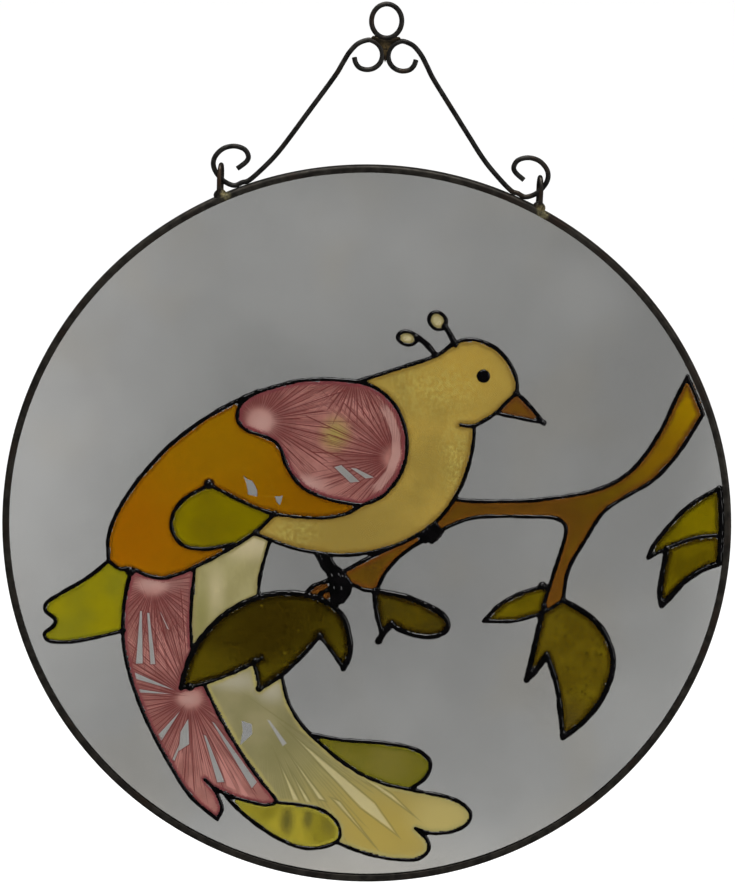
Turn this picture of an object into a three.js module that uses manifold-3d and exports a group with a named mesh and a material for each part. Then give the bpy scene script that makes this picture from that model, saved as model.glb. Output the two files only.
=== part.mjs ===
// A round suncatcher: one glass disc painted with a bird on a branch, held in a thin metal channel that
// hangs by two wire eyelets from a bent-wire hanger. Millimetres, +Z up, painted face towards -Y.
// Everything is drawn about the middle of the disc, and the whole is lowered at the end so that the
// origin is the inner top of the hanging ring, where a hook would carry it.

import * as THREE from 'three';
import { mergeVertices } from 'three/addons/utils/BufferGeometryUtils.js';
import Module from 'manifold-3d';

const wasm = await Module();
wasm.setup();

// ---- Driving dimensions -------------------------------------------------------------------------

const rimRadius = 150;
const rimFaceWidth = 2.9;
const rimHalfDepth = 2.45;
const rimWall = 0.7;
const rimEdgeChamfer = 0.5;
const fitGap = 0.3;
const roundSides = 64;
const beadShoulder = 0.5; // the flat top of a bead's section, as a share of its width
const facetTolerance = 0.1; // how far thinning of facets may move a surface

const glassThickness = 3;
const paintThickness = 0.5;
const beadHeight = 1.1;
const beadWidth = 2.2;

const wireRadius = 1.05;
const wireSides = 8;
const ringCentreHeight = 210.1;
const ringHalfWidth = 6.35;
const ringHalfHeight = 7.1;
const loopCentreOffset = 7.4;
const loopCentreHeight = 195.7;
const loopRadius = 6.2;
const loopTipRadius = 5.4;

const eyeletOffset = 65.6;
const eyeletWireRadius = 0.85;
const eyeletHalfSpread = 4.1;
const eyeletArchHeight = 5.2;
const hingeHeight = 142.4;

// Derived sizes.
const glassFront = -glassThickness / 2;
const paintFront = glassFront - paintThickness;
const lipInnerRadius = rimRadius - rimFaceWidth;
const glassRadius = rimRadius - rimWall - fitGap;
const artRadius = lipInnerRadius - fitGap;
const hangPointHeight = ringCentreHeight + ringHalfHeight - wireRadius;

// ---- The drawing --------------------------------------------------------------------------------
// Each line of the drawing runs smoothly through a few [x, z] points, from one corner or crossing to
// the next. A line may carry its own width; the rest are one bead wide.

const bodyLines = [
  { name: 'back', points: [[-105.5, -19.5], [-106, -9.5], [-102.5, 1.5], [-94.5, 15], [-81.5, 30.5],
    [-64, 44.5], [-47, 54]] },
  { name: 'patch front', points: [[-46, 54], [-30, 59], [-13, 60], [0, 58], [10, 50], [15, 37], [14, 24],
    [7, 13], [-2.5, 8]] },
  { name: 'patch back', points: [[-2.5, 8], [-16, 10], [-27, 14.5], [-33.5, 22.5], [-37, 31], [-42, 34.8],
    [-51, 37.5], [-54.8, 42], [-53.3, 49], [-46, 54]] },
  { name: 'wing edge', points: [[-65, 14], [-52.5, 8], [-38, 3], [-19.5, 2], [-9, 4], [-2.5, 8]] },
  { name: 'feather', points: [[-65, 14], [-74.5, 8.5], [-79.5, 2], [-80, -5.5], [-75.5, -11.5], [-66.5, -13],
    [-54.5, -10.3]] },
  { name: 'rump', points: [[-105.5, -19.5], [-101, -22.5], [-96, -22.3], [-89, -25], [-81.5, -25.5],
    [-69.5, -20.5], [-57.5, -13.5], [-46, -5.5], [-38, 3]] },
  { name: 'belly', points: [[-46, -5.5], [-33.5, -10], [-21, -12.5], [-6.5, -13], [8, -9.8], [20, -4.2],
    [30, 4], [37, 15], [41, 26.5], [42.5, 37], [42.5, 42.7]] },
  { name: 'crown', points: [[-7, 59.5], [3, 63], [12.5, 66.5], [26, 71.8], [33.5, 77.5], [41.5, 79],
    [50.5, 75.5], [56.5, 69], [59.3, 62.5], [59.5, 57.5]] },
  { name: 'throat', points: [[59.5, 57.5], [54.5, 52.5], [50.5, 48.2], [42.5, 43.2], [37, 43.2]] },
  { name: 'beak top', points: [[59.5, 57.5], [65.5, 51.8], [71, 45.5]] },
  { name: 'beak under', points: [[71, 45.5], [61.5, 47], [51, 48.8]] },
  { name: 'left crest stem', points: [[17.5, 79.3], [21.5, 76.5], [25.5, 72]], width: 2.6 },
  { name: 'right crest stem', points: [[28.7, 84.3], [31, 81], [33.5, 76.7]], width: 2.6 },
];

const tailLines = [
  { name: 'left green feather', points: [[-105.5, -19.5], [-114, -27], [-124, -33.5], [-130.3, -38],
    [-130.7, -41.5], [-126.5, -45], [-127.5, -48], [-130.8, -51], [-128.5, -54], [-119.5, -54],
    [-108.5, -51.5], [-98, -48.3]] },
  { name: 'pink outer edge', points: [[-96, -22.3], [-97.8, -31.5], [-98.7, -42], [-98, -54.5],
    [-94.5, -68.5], [-87.5, -85.5], [-78, -102.5], [-68, -117], [-56.7, -126]] },
  { name: 'pink tip cleft', points: [[-56.7, -126], [-55, -121.5], [-56.8, -116.5], [-59, -112.7],
    [-62.5, -109.5]] },
  { name: 'pink inner edge', points: [[-59, -112.7], [-52.5, -115.8], [-45, -117.8], [-37, -119.2],
    [-32.8, -117.5], [-35.3, -113.8], [-40.5, -108], [-48.5, -97], [-56, -85.5], [-63.8, -70.5]] },
  { name: 'pink and cream divide', points: [[-70, -20.7], [-70.7, -32], [-70.8, -43.5], [-70, -54]] },
  { name: 'upper cream edge', points: [[-39.5, -8], [-42, -18], [-43.3, -25], [-43.5, -31]] },
  { name: 'lower cream edge', points: [[-32.5, -65], [-29.5, -75.5], [-23.5, -85], [-13.3, -94.5],
    [-2.3, -102.5], [10, -108], [24.5, -110.8], [39.5, -113.5], [46.7, -118], [46.8, -123], [41, -127],
    [32, -128.3], [25, -126.5]] },
  { name: 'cream end', points: [[25, -126.5], [29.8, -131], [30.7, -135.5], [26, -139.5], [15.5, -139.8],
    [3.5, -137.5], [-6.5, -134]] },
  { name: 'lower green feather', points: [[-33, -117.8], [-21, -118.7], [-13, -120.7], [-7, -125.8],
    [-6.3, -132.5], [-14, -136.3], [-23, -136.3], [-32.5, -132.5], [-42, -126.5], [-50.5, -119.5],
    [-54, -115.2]] },
  { name: 'right green feather', points: [[-19, -89], [-6, -90.7], [9.5, -91.3], [21.5, -92.7],
    [28, -96], [30.2, -100], [28, -105.5], [22, -110.2]] },
];

const leafLines = [
  { name: 'big leaf top', points: [[-73.7, -71.5], [-72.3, -64], [-69, -55], [-61.8, -44.5], [-51.5, -36],
    [-39.5, -31], [-27, -30], [-15.5, -33], [-8, -39.5], [-5, -49], [-5, -55.5], [-7.3, -60.7]], width: 2.6 },
  { name: 'big leaf right cleft', points: [[-7.3, -60.7], [-11.8, -54.3], [-17.5, -47.5]] },
  { name: 'big leaf middle edge', points: [[-17.5, -47.5], [-24, -55.7], [-32.5, -64.5], [-41.5, -71]] },
  { name: 'big leaf spur', points: [[-41.5, -71], [-42.5, -65.5], [-44, -60.7]] },
  { name: 'big leaf lower edge', points: [[-41, -57.7], [-48, -62], [-59.5, -67.5], [-67.5, -70.3],
    [-73.7, -71.5]] },
  { name: 'small leaf stalk', points: [[4.3, -27.5], [5, -34.5], [6.4, -40], [8, -45.4]], width: 2.4 },
  { name: 'small leaf cleft', points: [[6.6, -48.8], [8.9, -45], [12, -41]], width: 2.8 },
  { name: 'small leaf', points: [[12, -41], [14.5, -43], [21, -45.3], [28.5, -45.8], [33.8, -43.7],
    [35, -39.7], [31.3, -35.5], [23.5, -31.8], [15.5, -29.2], [5, -27.7]], width: 2.6 },
  { name: 'left twig leaf top', points: [[49.8, -38.5], [55.8, -31.7], [63.5, -26.7], [74, -23]] },
  { name: 'left twig leaf under', points: [[49.8, -38.5], [61.5, -38], [68.5, -36], [74, -34]] },
  { name: 'right twig leaf stalk', points: [[74.3, -31], [72, -43], [69.8, -55], [68.3, -62.5]], width: 2.6 },
  { name: 'right twig leaf cleft', points: [[68.3, -62.5], [72, -58.3], [76.3, -51.5]], width: 2.6 },
  { name: 'right twig leaf inside', points: [[76.3, -51.5], [80.8, -64], [82.8, -75.5], [84.3, -86]],
    width: 2.6 },
  { name: 'right twig leaf', points: [[84.3, -86], [92.5, -79], [100, -68.3], [103.7, -55], [100.8, -43.5],
    [93.5, -35], [82, -28.5]], width: 2.6 },
];

const branchLines = [
  { name: 'branch top', points: [[36, 12], [43, 11.5], [56.5, 12], [71, 13.3], [93, 18], [107.3, 26.3],
    [118, 41.5], [124.5, 56.5], [129.3, 67.2]] },
  { name: 'branch end', points: [[129.3, 67.2], [133, 59.6], [136.3, 51.6]] },
  { name: 'branch underside', points: [[136.3, 51.6], [130.5, 41], [124, 31], [116, 22.5], [104.5, 15],
    [97, 9], [90.8, -1.5], [83.7, -15.5], [82, -28.5]] },
  { name: 'branch inner edge', points: [[5, -27.5], [8.7, -19.5], [15, -12], [24.5, -5], [37, 2.2],
    [48, 5.2], [67, 6], [77.3, 5.8], [81.8, 2.5], [81.3, -4], [77.7, -17.5], [74, -31]] },
  { name: 'twig end', points: [[74, -34], [77.5, -31.7], [82, -28.5]] },
  { name: 'perch top', points: [[-8, -19.7], [2.5, -13.3], [11, -9]] },
  { name: 'perch underside', points: [[-5.5, -25], [0, -27.3], [5, -27.5]] },
  { name: 'branch stub', points: [[-24, -29.7], [-20.7, -26.5], [-15.5, -24.3]] },
  { name: 'left claw', points: [[-17.3, -14.8], [-14.4, -19.8], [-11.4, -24.2]], width: 7 },
  { name: 'left claw heel', points: [[-11.4, -24.2], [-9.8, -28.4], [-10.4, -31.2]], width: 8.8 },
  { name: 'right claw', points: [[23.3, -4.2], [27.7, 0]], width: 5.4 },
];

const edgeLeafLines = [
  { name: 'upper edge leaf top', points: [[116.3, -9.3], [118.3, -4], [124, 4], [130, 11], [137, 16.7],
    [144.4, 21]] },
  { name: 'upper edge leaf under', points: [[145.8, 1.3], [136.5, 0.2], [126, -3.7], [116.3, -9.3]] },
  { name: 'edge stalk', points: [[144.4, 21], [145.8, 6.5], [145.6, -10.3]], width: 2.6 },
  { name: 'lower edge leaf left', points: [[124, -5], [122.3, -16], [121.7, -24], [122.7, -29]], width: 2.6 },
  { name: 'lower edge leaf under', points: [[122.7, -29], [126.3, -25], [131.3, -19], [138, -13.8],
    [145.6, -10.3]], width: 2.6 },
];

// Where the paste was let run into a blob: [x, z, radius].
const blobs = [[-65.5, 14.3, 2.4], [-96.5, -23.5, 2.2], [-45.5, -5.3, 1.6], [59.3, 57.3, 1.6], [71, 45.5, 1.4],
  [-43.7, -59, 1.6], [73.3, -22.8, 1.9], [-17.5, -47.3, 1.6]];

// Crest beads: ring-shaped lines round a drop of paint.
const crestBeads = [
  { name: 'crest_bead_left', centre: [13.6, 78.6], halfLength: 3.9, halfHeight: 2.7, tilt: -10 },
  { name: 'crest_bead_right', centre: [25.8, 86.3], halfLength: 3.9, halfHeight: 3.2, tilt: -50 },
];

// Each paint film fills the closed field that holds its [x, z] spot.
const paintFilms = [
  { name: 'paint_head_and_breast', spot: [28.5, 40.5], color: 0x96823c },
  { name: 'paint_beak', spot: [62, 51], color: 0x7a4e10 },
  { name: 'paint_crest_bead_left', spot: [13.6, 78.6], color: 0xb0a880 },
  { name: 'paint_crest_bead_right', spot: [25.8, 86.3], color: 0xb0a880 },
  { name: 'paint_wing', spot: [-85, -2], color: 0x8a6000 },
  { name: 'paint_wing_patch', spot: [-16.5, 34.5], color: 0x96605a },
  { name: 'paint_wing_feather', spot: [-66.5, -1], color: 0x6e6a00 },
  { name: 'paint_tail_green_left', spot: [-108.5, -38.5], color: 0x7d7a14 },
  { name: 'paint_tail_pink', spot: [-83, -52], color: 0x96605a },
  { name: 'paint_tail_cream_upper', spot: [-57.5, -26], color: 0x9a9468 },
  { name: 'paint_tail_cream_lower', spot: [-23.5, -100], color: 0xa89c50 },
  { name: 'paint_tail_green_right', spot: [9.5, -99.5], color: 0x64621f },
  { name: 'paint_tail_green_bottom', spot: [-26.5, -127.5], color: 0x8a842a },
  { name: 'paint_big_leaf', spot: [-42, -50.5], color: 0x3a2e00 },
  { name: 'paint_small_leaf', spot: [23.5, -38.5], color: 0x4a4000 },
  { name: 'paint_left_twig_leaf', spot: [64.5, -31.5], color: 0x5e5200 },
  { name: 'paint_right_twig_leaf', spot: [90, -53.5], color: 0x5e5200 },
  { name: 'paint_upper_edge_leaf', spot: [137, 9], color: 0x6e6400 },
  { name: 'paint_lower_edge_leaf', spot: [133.5, -10], color: 0x5e5200 },
  { name: 'paint_branch', spot: [95.5, 11.5], color: 0x6a4a0e },
  { name: 'paint_perch', spot: [8, -15.5], color: 0x6a4a0e },
  { name: 'paint_branch_stub', spot: [-18.7, -28], color: 0x6a4a0e },
];

// The hanger's right wire past its loop: straight leg, hook through the eyelet, end scroll.
const hangerLegPoints = [[11.4, 200.2], [14.7, 196.5], [17.3, 191.9], [20.5, 186.1], [30.9, 170.5],
  [41.4, 155.0], [47.6, 147.6], [53.6, 141.7], [60, 139.1], [64.4, 140.9], [67.6, 144.4], [68.8, 147.9],
  [67.9, 151.3], [64.8, 154.4], [60.4, 155.5], [56.2, 154.3], [54.5, 151.5], [55.4, 149.1], [58.9, 146.2]];

// ---- Solids -------------------------------------------------------------------------------------

function toSolid(geometry) {
  geometry.deleteAttribute('normal');
  geometry.deleteAttribute('uv');
  const merged = mergeVertices(geometry, 1e-4);
  const corners = merged.index.array;
  const kept = [];
  for (let i = 0; i < corners.length; i += 3) {
    const [a, b, c] = [corners[i], corners[i + 1], corners[i + 2]];
    if (a !== b && b !== c && c !== a) kept.push(a, b, c);
  }
  return new wasm.Manifold(new wasm.Mesh({
    numProp: 3,
    vertProperties: merged.attributes.position.array,
    triVerts: new Uint32Array(kept),
  }));
}

function toGeometry(solid) {
  const { vertProperties, triVerts } = solid.getMesh();
  const geometry = new THREE.BufferGeometry();
  geometry.setAttribute('position', new THREE.BufferAttribute(vertProperties, 3));
  geometry.setIndex(new THREE.BufferAttribute(triVerts, 1));
  geometry.computeVertexNormals();
  return geometry;
}

function joined(solids) {
  return solids.reduce((sum, solid) => sum.add(solid));
}

function largestPiece(solid) {
  return solid.decompose().reduce((best, piece) => (piece.volume() > best.volume() ? piece : best));
}

// Places along a curve, closer together where it turns, with the heading at each.
function stationsAlong(curve) {
  const fineSteps = 240;
  const chordError = 0.38;
  const largestTurn = THREE.MathUtils.degToRad(36);
  const pointAt = (i) => curve.getPoint(i / fineSteps);
  const headingAt = (i) => curve.getTangent(i / fineSteps);
  const stations = [pointAt(0)];
  const headings = [headingAt(0)];
  let turned = 0;
  let walked = 0;
  for (let i = 1; i <= fineSteps; i += 1) {
    turned += headingAt(i).angleTo(headingAt(i - 1));
    walked += pointAt(i).distanceTo(pointAt(i - 1));
    if (i === fineSteps || turned > largestTurn || (turned * walked) / 8 > chordError) {
      stations.push(pointAt(i));
      headings.push(headingAt(i));
      turned = 0;
      walked = 0;
    }
  }
  return { stations, headings };
}

// A path that stops at given stations and keeps one side of the section facing the same way.
class StationPath extends THREE.Curve {
  constructor({ stations, headings }, side) {
    super();
    Object.assign(this, { stations, headings, side });
  }

  getPointAt(u, target = new THREE.Vector3()) {
    return target.copy(this.stations[Math.round(u * (this.stations.length - 1))]);
  }

  computeFrenetFrames() {
    return {
      tangents: this.headings,
      normals: this.headings.map(() => this.side.clone()),
      binormals: this.headings.map((heading) => heading.clone().cross(this.side).normalize()),
    };
  }
}

function sweep(curve, section, side) {
  const run = stationsAlong(curve);
  const path = new StationPath(run, side);
  return toSolid(new THREE.ExtrudeGeometry(section, { steps: run.stations.length - 1, extrudePath: path }));
}

function polygon(points) {
  return new THREE.Shape(points.map(([x, y]) => new THREE.Vector2(x, y)));
}

function circleSection(radius, sides) {
  const corners = [];
  for (let i = 0; i < sides; i += 1) {
    const angle = ((i + 0.5) * 2 * Math.PI) / sides;
    corners.push([radius * Math.cos(angle), radius * Math.sin(angle)]);
  }
  return polygon(corners);
}

// Revolves a [radius, height] profile about an axis that points out of the painted face, along -Y.
function turned(profile, sides) {
  const points = profile.map(([radius, height]) => new THREE.Vector2(radius, height));
  return new THREE.LatheGeometry(points, sides).rotateX(Math.PI);
}

// ---- Relief lines and paint films ---------------------------------------------------------------

const outOfFace = new THREE.Vector3(0, -1, 0);

function lineCurve({ points }) {
  const places = points.map(([x, z]) => new THREE.Vector3(x, glassFront, z));
  if (places.length === 2) return new THREE.LineCurve3(...places);
  return new THREE.CatmullRomCurve3(places, false, 'centripetal');
}

// Rounded bead section: height along x, width along y.
function beadSection(width) {
  const shoulder = beadShoulder * width / 2;
  return polygon([[0, -width / 2], [beadHeight, -shoulder], [beadHeight, shoulder], [0, width / 2]]);
}

function dome(x, z, radius, baseY = glassFront, height = beadHeight, sides = 6) {
  const profile = [[0, 0], [radius, 0], [beadShoulder * radius, height], [0, height]];
  const geometry = turned(profile, sides);
  return toSolid(geometry.translate(x, baseY, z));
}

function beadRing({ centre, halfLength, halfHeight, tilt }) {
  const half = beadWidth / 2;
  const middle = (halfLength + halfHeight) / 2;
  const shoulder = beadShoulder * half;
  const profile = [[middle - half, 0], [middle + half, 0], [middle + shoulder, beadHeight],
    [middle - shoulder, beadHeight], [middle - half, 0]];
  const geometry = turned(profile, 14);
  geometry.scale(halfLength / middle, 1, halfHeight / middle);
  geometry.rotateY(-THREE.MathUtils.degToRad(tilt));
  return toSolid(geometry.translate(centre[0], glassFront, centre[1]));
}

// The ends of the lines, each place once, with half the width of the widest line that ends there.
function lineEnds(lines) {
  const ends = new Map();
  for (const line of lines) {
    const half = (line.width ?? beadWidth) / 2;
    for (const place of [line.points[0], line.points.at(-1)]) {
      const key = place.join();
      if (half > (ends.get(key)?.half ?? 0)) ends.set(key, { x: place[0], z: place[1], half });
    }
  }
  return [...ends.values()];
}

function clippedToArt(solid) {
  const clip = turned([[0, 0], [artRadius, 0], [artRadius, 2 * beadHeight], [0, 2 * beadHeight]], roundSides);
  return solid.intersect(toSolid(clip.translate(0, glassFront, 0)));
}

function reliefLines(lines, extras) {
  const parts = [...extras];
  for (const line of lines) {
    parts.push(sweep(lineCurve(line), beadSection(line.width ?? beadWidth), outOfFace));
  }
  for (const { x, z, half } of lineEnds(lines)) parts.push(dome(x, z, half));
  return clippedToArt(joined(parts)).simplify(facetTolerance);
}

// The room that the relief lines take up in the paint, with a hair of clearance on each side.
function reliefRoom(lines) {
  const reach = paintThickness;
  const disc = (x, z, radius) => {
    const puck = turned([[0, -reach], [radius, -reach], [radius, 2 * reach], [0, 2 * reach]], 8);
    return toSolid(puck.translate(x, glassFront, z));
  };
  const parts = blobs.map(([x, z, radius]) => disc(x, z, radius + fitGap));
  for (const line of lines) {
    const half = (line.width ?? beadWidth) / 2 + fitGap;
    const section = polygon([[-reach, -half], [2 * reach, -half], [2 * reach, half], [-reach, half]]);
    parts.push(sweep(lineCurve(line), section, outOfFace));
  }
  for (const { x, z, half } of lineEnds(lines)) parts.push(disc(x, z, half + fitGap));
  return joined(parts);
}

function beadRoom({ centre, halfLength, halfHeight, tilt }) {
  const half = beadWidth / 2 + fitGap;
  const middle = (halfLength + halfHeight) / 2;
  const low = -paintThickness;
  const high = 2 * paintThickness;
  const profile = [[middle - half, low], [middle + half, low], [middle + half, high], [middle - half, high],
    [middle - half, low]];
  const geometry = turned(profile, 14);
  geometry.scale(halfLength / middle, 1, halfHeight / middle);
  geometry.rotateY(-THREE.MathUtils.degToRad(tilt));
  return toSolid(geometry.translate(centre[0], glassFront, centre[1]));
}

function filmPieces() {
  const allLines = [...bodyLines, ...tailLines, ...leafLines, ...branchLines, ...edgeLeafLines];
  const room = joined([reliefRoom(allLines), ...crestBeads.map(beadRoom)]);
  const coat = turned([[0, 0], [artRadius, 0], [artRadius, paintThickness], [0, paintThickness]], roundSides);
  return toSolid(coat.translate(0, glassFront, 0)).subtract(room).simplify(facetTolerance).decompose();
}

function filmAt(pieces, [x, z]) {
  const probe = toSolid(new THREE.BoxGeometry(0.4, 4 * paintThickness, 0.4).translate(x, glassFront, z));
  return pieces.find((piece) => !piece.intersect(probe).isEmpty());
}

// ---- Metal and glass ----------------------------------------------------------------------------

function rimGeometry() {
  const lip = rimHalfDepth - rimWall;
  const outer = rimRadius - rimEdgeChamfer;
  const side = rimHalfDepth - rimEdgeChamfer;
  const web = rimRadius - rimWall;
  const profile = [[lipInnerRadius, -rimHalfDepth], [outer, -rimHalfDepth], [rimRadius, -side],
    [rimRadius, side], [outer, rimHalfDepth], [lipInnerRadius, rimHalfDepth], [lipInnerRadius, lip],
    [web, lip], [web, -lip], [lipInnerRadius, -lip], [lipInnerRadius, -rimHalfDepth]];
  return toGeometry(toSolid(turned(profile, roundSides)));
}

function glassGeometry() {
  const half = glassThickness / 2;
  return toGeometry(toSolid(turned([[0, -half], [glassRadius, -half], [glassRadius, half], [0, half]],
    roundSides)));
}

// An inverted U of wire, arched round the hinge line, with its feet drawn together in solder on the rim.
function eyeletGeometry(side) {
  const footHeight = Math.sqrt(rimRadius ** 2 - eyeletOffset ** 2);
  const lean = 0.9;
  const points = [[lean, -1.5, footHeight - 0.3], [0.6 * lean, -3, footHeight + 2.6]];
  const archSteps = 8;
  for (let i = 0; i <= archSteps; i += 1) {
    const angle = (i * Math.PI) / archSteps;
    points.push([0, -eyeletHalfSpread * Math.cos(angle), hingeHeight + eyeletArchHeight * Math.sin(angle)]);
  }
  points.push([-0.6 * lean, 3, footHeight + 2.6], [-lean, 1.5, footHeight - 0.3]);
  const places = points.map(([x, y, z]) => new THREE.Vector3(side * (eyeletOffset + x), y, z));
  const wire = sweep(new THREE.CatmullRomCurve3(places, false, 'centripetal'),
    circleSection(eyeletWireRadius, wireSides), new THREE.Vector3(1, 0, 0));
  const solder = new THREE.SphereGeometry(1, 10, 6).scale(4.2, 2.7, 1.7);
  solder.rotateY(side * Math.asin(eyeletOffset / rimRadius));
  solder.translate(side * eyeletOffset, 0, footHeight + 0.4);
  const rimRoom = turned([[0, -6], [rimRadius + fitGap, -6], [rimRadius + fitGap, 6], [0, 6]], 2 * roundSides);
  return toGeometry(wire.add(toSolid(solder)).subtract(toSolid(rimRoom)));
}

function hangerWireCurve(side) {
  const points = [];
  const loopSteps = 12;
  for (let i = 0; i < loopSteps; i += 1) {
    const angle = THREE.MathUtils.degToRad(-14 - (256 * i) / (loopSteps - 1));
    const radius = i < 2 ? THREE.MathUtils.lerp(loopTipRadius, loopRadius, i / 2) : loopRadius;
    points.push([loopCentreOffset + radius * Math.cos(angle), loopCentreHeight + radius * Math.sin(angle)]);
  }
  points.push(...hangerLegPoints);
  const places = points.map(([x, z]) => new THREE.Vector3(side * x, 0, z));
  return new THREE.CatmullRomCurve3(places, false, 'centripetal');
}

function hangerWire(side, radius) {
  return sweep(hangerWireCurve(side), circleSection(radius, wireSides), outOfFace);
}

function hangingRing(radius) {
  const middle = (ringHalfWidth + ringHalfHeight) / 2;
  const profile = [];
  for (let i = 0; i <= wireSides; i += 1) {
    const angle = ((i + 0.5) * 2 * Math.PI) / wireSides;
    profile.push([middle + radius * Math.cos(angle), radius * Math.sin(angle)]);
  }
  const geometry = turned(profile, 20);
  geometry.scale(ringHalfWidth / middle, 1, ringHalfHeight / middle);
  return toSolid(geometry.translate(0, 0, ringCentreHeight));
}

// Solder that fills the corner between the ring and the two loops.
function hangerSolderGeometry() {
  const top = ringCentreHeight - ringHalfHeight;
  const shape = polygon([[-4.6, top - 0.4], [-1.2, top - 6], [1.2, top - 6], [4.6, top - 0.4], [2.5, top + 0.6],
    [-2.5, top + 0.6]]);
  const depth = 1.9;
  const block = new THREE.ExtrudeGeometry(shape, { depth, bevelEnabled: false });
  block.rotateX(Math.PI / 2).translate(0, depth / 2, 0);
  const room = joined([hangingRing(wireRadius + fitGap), hangerWire(1, wireRadius + fitGap),
    hangerWire(-1, wireRadius + fitGap)]);
  return toGeometry(largestPiece(toSolid(block).subtract(room)));
}

// ---- Assembly -----------------------------------------------------------------------------------

const darkMetal = { color: 0x2d2a24, roughness: 0.45, metalness: 0.7 };
const solderMetal = { color: 0x5c5442, roughness: 0.7, metalness: 0.5 };
const clearGlass = { color: 0xb4b6b4, roughness: 0.15, metalness: 0, transparent: true, opacity: 0.4 };
const blackPaste = { color: 0x0a0a0a, roughness: 0.3, metalness: 0 };

const suncatcher = new THREE.Group();
suncatcher.position.z = -hangPointHeight;

function addPiece(name, geometry, surface) {
  const mesh = new THREE.Mesh(geometry, new THREE.MeshStandardMaterial(surface));
  mesh.name = name;
  suncatcher.add(mesh);
}

addPiece('glass_disc', glassGeometry(), clearGlass);
addPiece('rim_channel', rimGeometry(), darkMetal);
addPiece('eyelet_left', eyeletGeometry(-1), darkMetal);
addPiece('eyelet_right', eyeletGeometry(1), darkMetal);
addPiece('hanging_ring', toGeometry(hangingRing(wireRadius)), darkMetal);
addPiece('hanger_wire_left', toGeometry(hangerWire(-1, wireRadius)), darkMetal);
addPiece('hanger_wire_right', toGeometry(hangerWire(1, wireRadius)), darkMetal);
addPiece('hanger_solder', hangerSolderGeometry(), solderMetal);

const blobDomes = blobs.map(([x, z, radius]) => dome(x, z, radius));
const mainExtras = [...blobDomes, ...crestBeads.map(beadRing)];
const mainLines = [...bodyLines, ...tailLines, ...leafLines, ...branchLines];
addPiece('contour_bird_and_branch', toGeometry(reliefLines(mainLines, mainExtras)), blackPaste);
addPiece('contour_edge_leaves', toGeometry(reliefLines(edgeLeafLines, [])), blackPaste);
addPiece('eye_dot', toGeometry(dome(45.5, 64, 2.8, paintFront, 0.9, 12)), blackPaste);

const pieces = filmPieces();
for (const { name, spot, color } of paintFilms) {
  addPiece(name, toGeometry(filmAt(pieces, spot)), { color, roughness: 0.3, metalness: 0 });
}

export default suncatcher;
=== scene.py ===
import math

import bmesh
import bpy
import numpy as np
from mathutils import Matrix, Vector, kdtree, noise


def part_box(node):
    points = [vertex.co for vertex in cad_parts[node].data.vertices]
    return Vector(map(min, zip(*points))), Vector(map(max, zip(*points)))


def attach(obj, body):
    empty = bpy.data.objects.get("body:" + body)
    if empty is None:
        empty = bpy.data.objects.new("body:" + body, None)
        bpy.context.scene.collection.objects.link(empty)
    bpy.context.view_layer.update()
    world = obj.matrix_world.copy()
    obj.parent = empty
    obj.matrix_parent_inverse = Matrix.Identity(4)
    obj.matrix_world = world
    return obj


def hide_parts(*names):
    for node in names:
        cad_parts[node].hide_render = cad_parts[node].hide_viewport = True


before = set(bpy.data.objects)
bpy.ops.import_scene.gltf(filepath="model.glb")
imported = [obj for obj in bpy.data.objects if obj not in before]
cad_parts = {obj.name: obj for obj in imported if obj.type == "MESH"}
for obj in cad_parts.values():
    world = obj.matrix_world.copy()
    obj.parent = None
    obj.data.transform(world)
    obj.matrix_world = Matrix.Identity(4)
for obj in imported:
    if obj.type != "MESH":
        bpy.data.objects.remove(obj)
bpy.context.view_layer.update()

scene = bpy.context.scene
mm = 0.001

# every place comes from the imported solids
glassLow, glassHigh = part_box("glass_disc")
rimLow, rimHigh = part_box("rim_channel")
ringLow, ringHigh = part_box("hanging_ring")
discCentre = (glassLow + glassHigh) / 2
discRadius = round((rimHigh.x - rimLow.x) / 2 / mm, 2)


def toLinear(code):  # sRGB hex to linear light
    parts = [int(code[i:i + 2], 16) / 255 for i in (1, 3, 5)]
    return tuple(c / 12.92 if c <= 0.04045 else ((c + 0.055) / 1.055) ** 2.4 for c in parts) + (1.0,)


def discPoint(x, z, y=0.0):  # millimetres from the middle of the disc, to metres
    return discCentre + Vector((x, y, z)) * mm


def addNode(tree, kind, inputs=None, **settings):  # kind without ShaderNode, which most nodes start with
    node = tree.nodes.new(kind if kind.startswith(("GeometryNode", "NodeGroup")) else "ShaderNode" + kind)
    for name, value in settings.items():
        setattr(node, name, value)
    for key, value in (inputs or {}).items():
        if isinstance(value, bpy.types.NodeSocket):
            tree.links.new(value, node.inputs[key])
        else:
            node.inputs[key].default_value = value
    return node.outputs


def newPiece(name, mesh):
    piece = bpy.data.objects.new(name, mesh)
    scene.collection.objects.link(piece)
    return piece


def meshFrom(name, points, faces=(), edges=()):
    mesh = bpy.data.meshes.new(name)
    mesh.from_pydata([tuple(p) for p in points], list(edges), list(faces))
    mesh.validate()
    mesh.shade_smooth()
    return mesh


def applied(piece):  # takes the modifiers into the mesh
    mesh = bpy.data.meshes.new_from_object(piece.evaluated_get(bpy.context.evaluated_depsgraph_get()))
    piece.modifiers.clear()
    piece.data = mesh
    mesh.shade_smooth()
    return piece


def reworked(mesh, change):  # edits the mesh through bmesh
    bm = bmesh.new()
    bm.from_mesh(mesh)
    change(bm)
    bm.to_mesh(mesh)
    bm.free()
    mesh.shade_smooth()
    return mesh


def facedOut(mesh):
    return reworked(mesh, lambda bm: bmesh.ops.recalc_face_normals(bm, faces=bm.faces))


def prism(name, outline, near, far):  # a flat outline in millimetres, given depth
    count = len(outline)
    points = [discPoint(x, z, y) for y in (near, far) for x, z in outline]
    faces = [tuple(range(count)), tuple(reversed(range(count, 2 * count)))]
    faces += [(i, i + count, (i + 1) % count + count, (i + 1) % count) for i in range(count)]
    return newPiece(name, meshFrom(name, points, faces))


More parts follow.
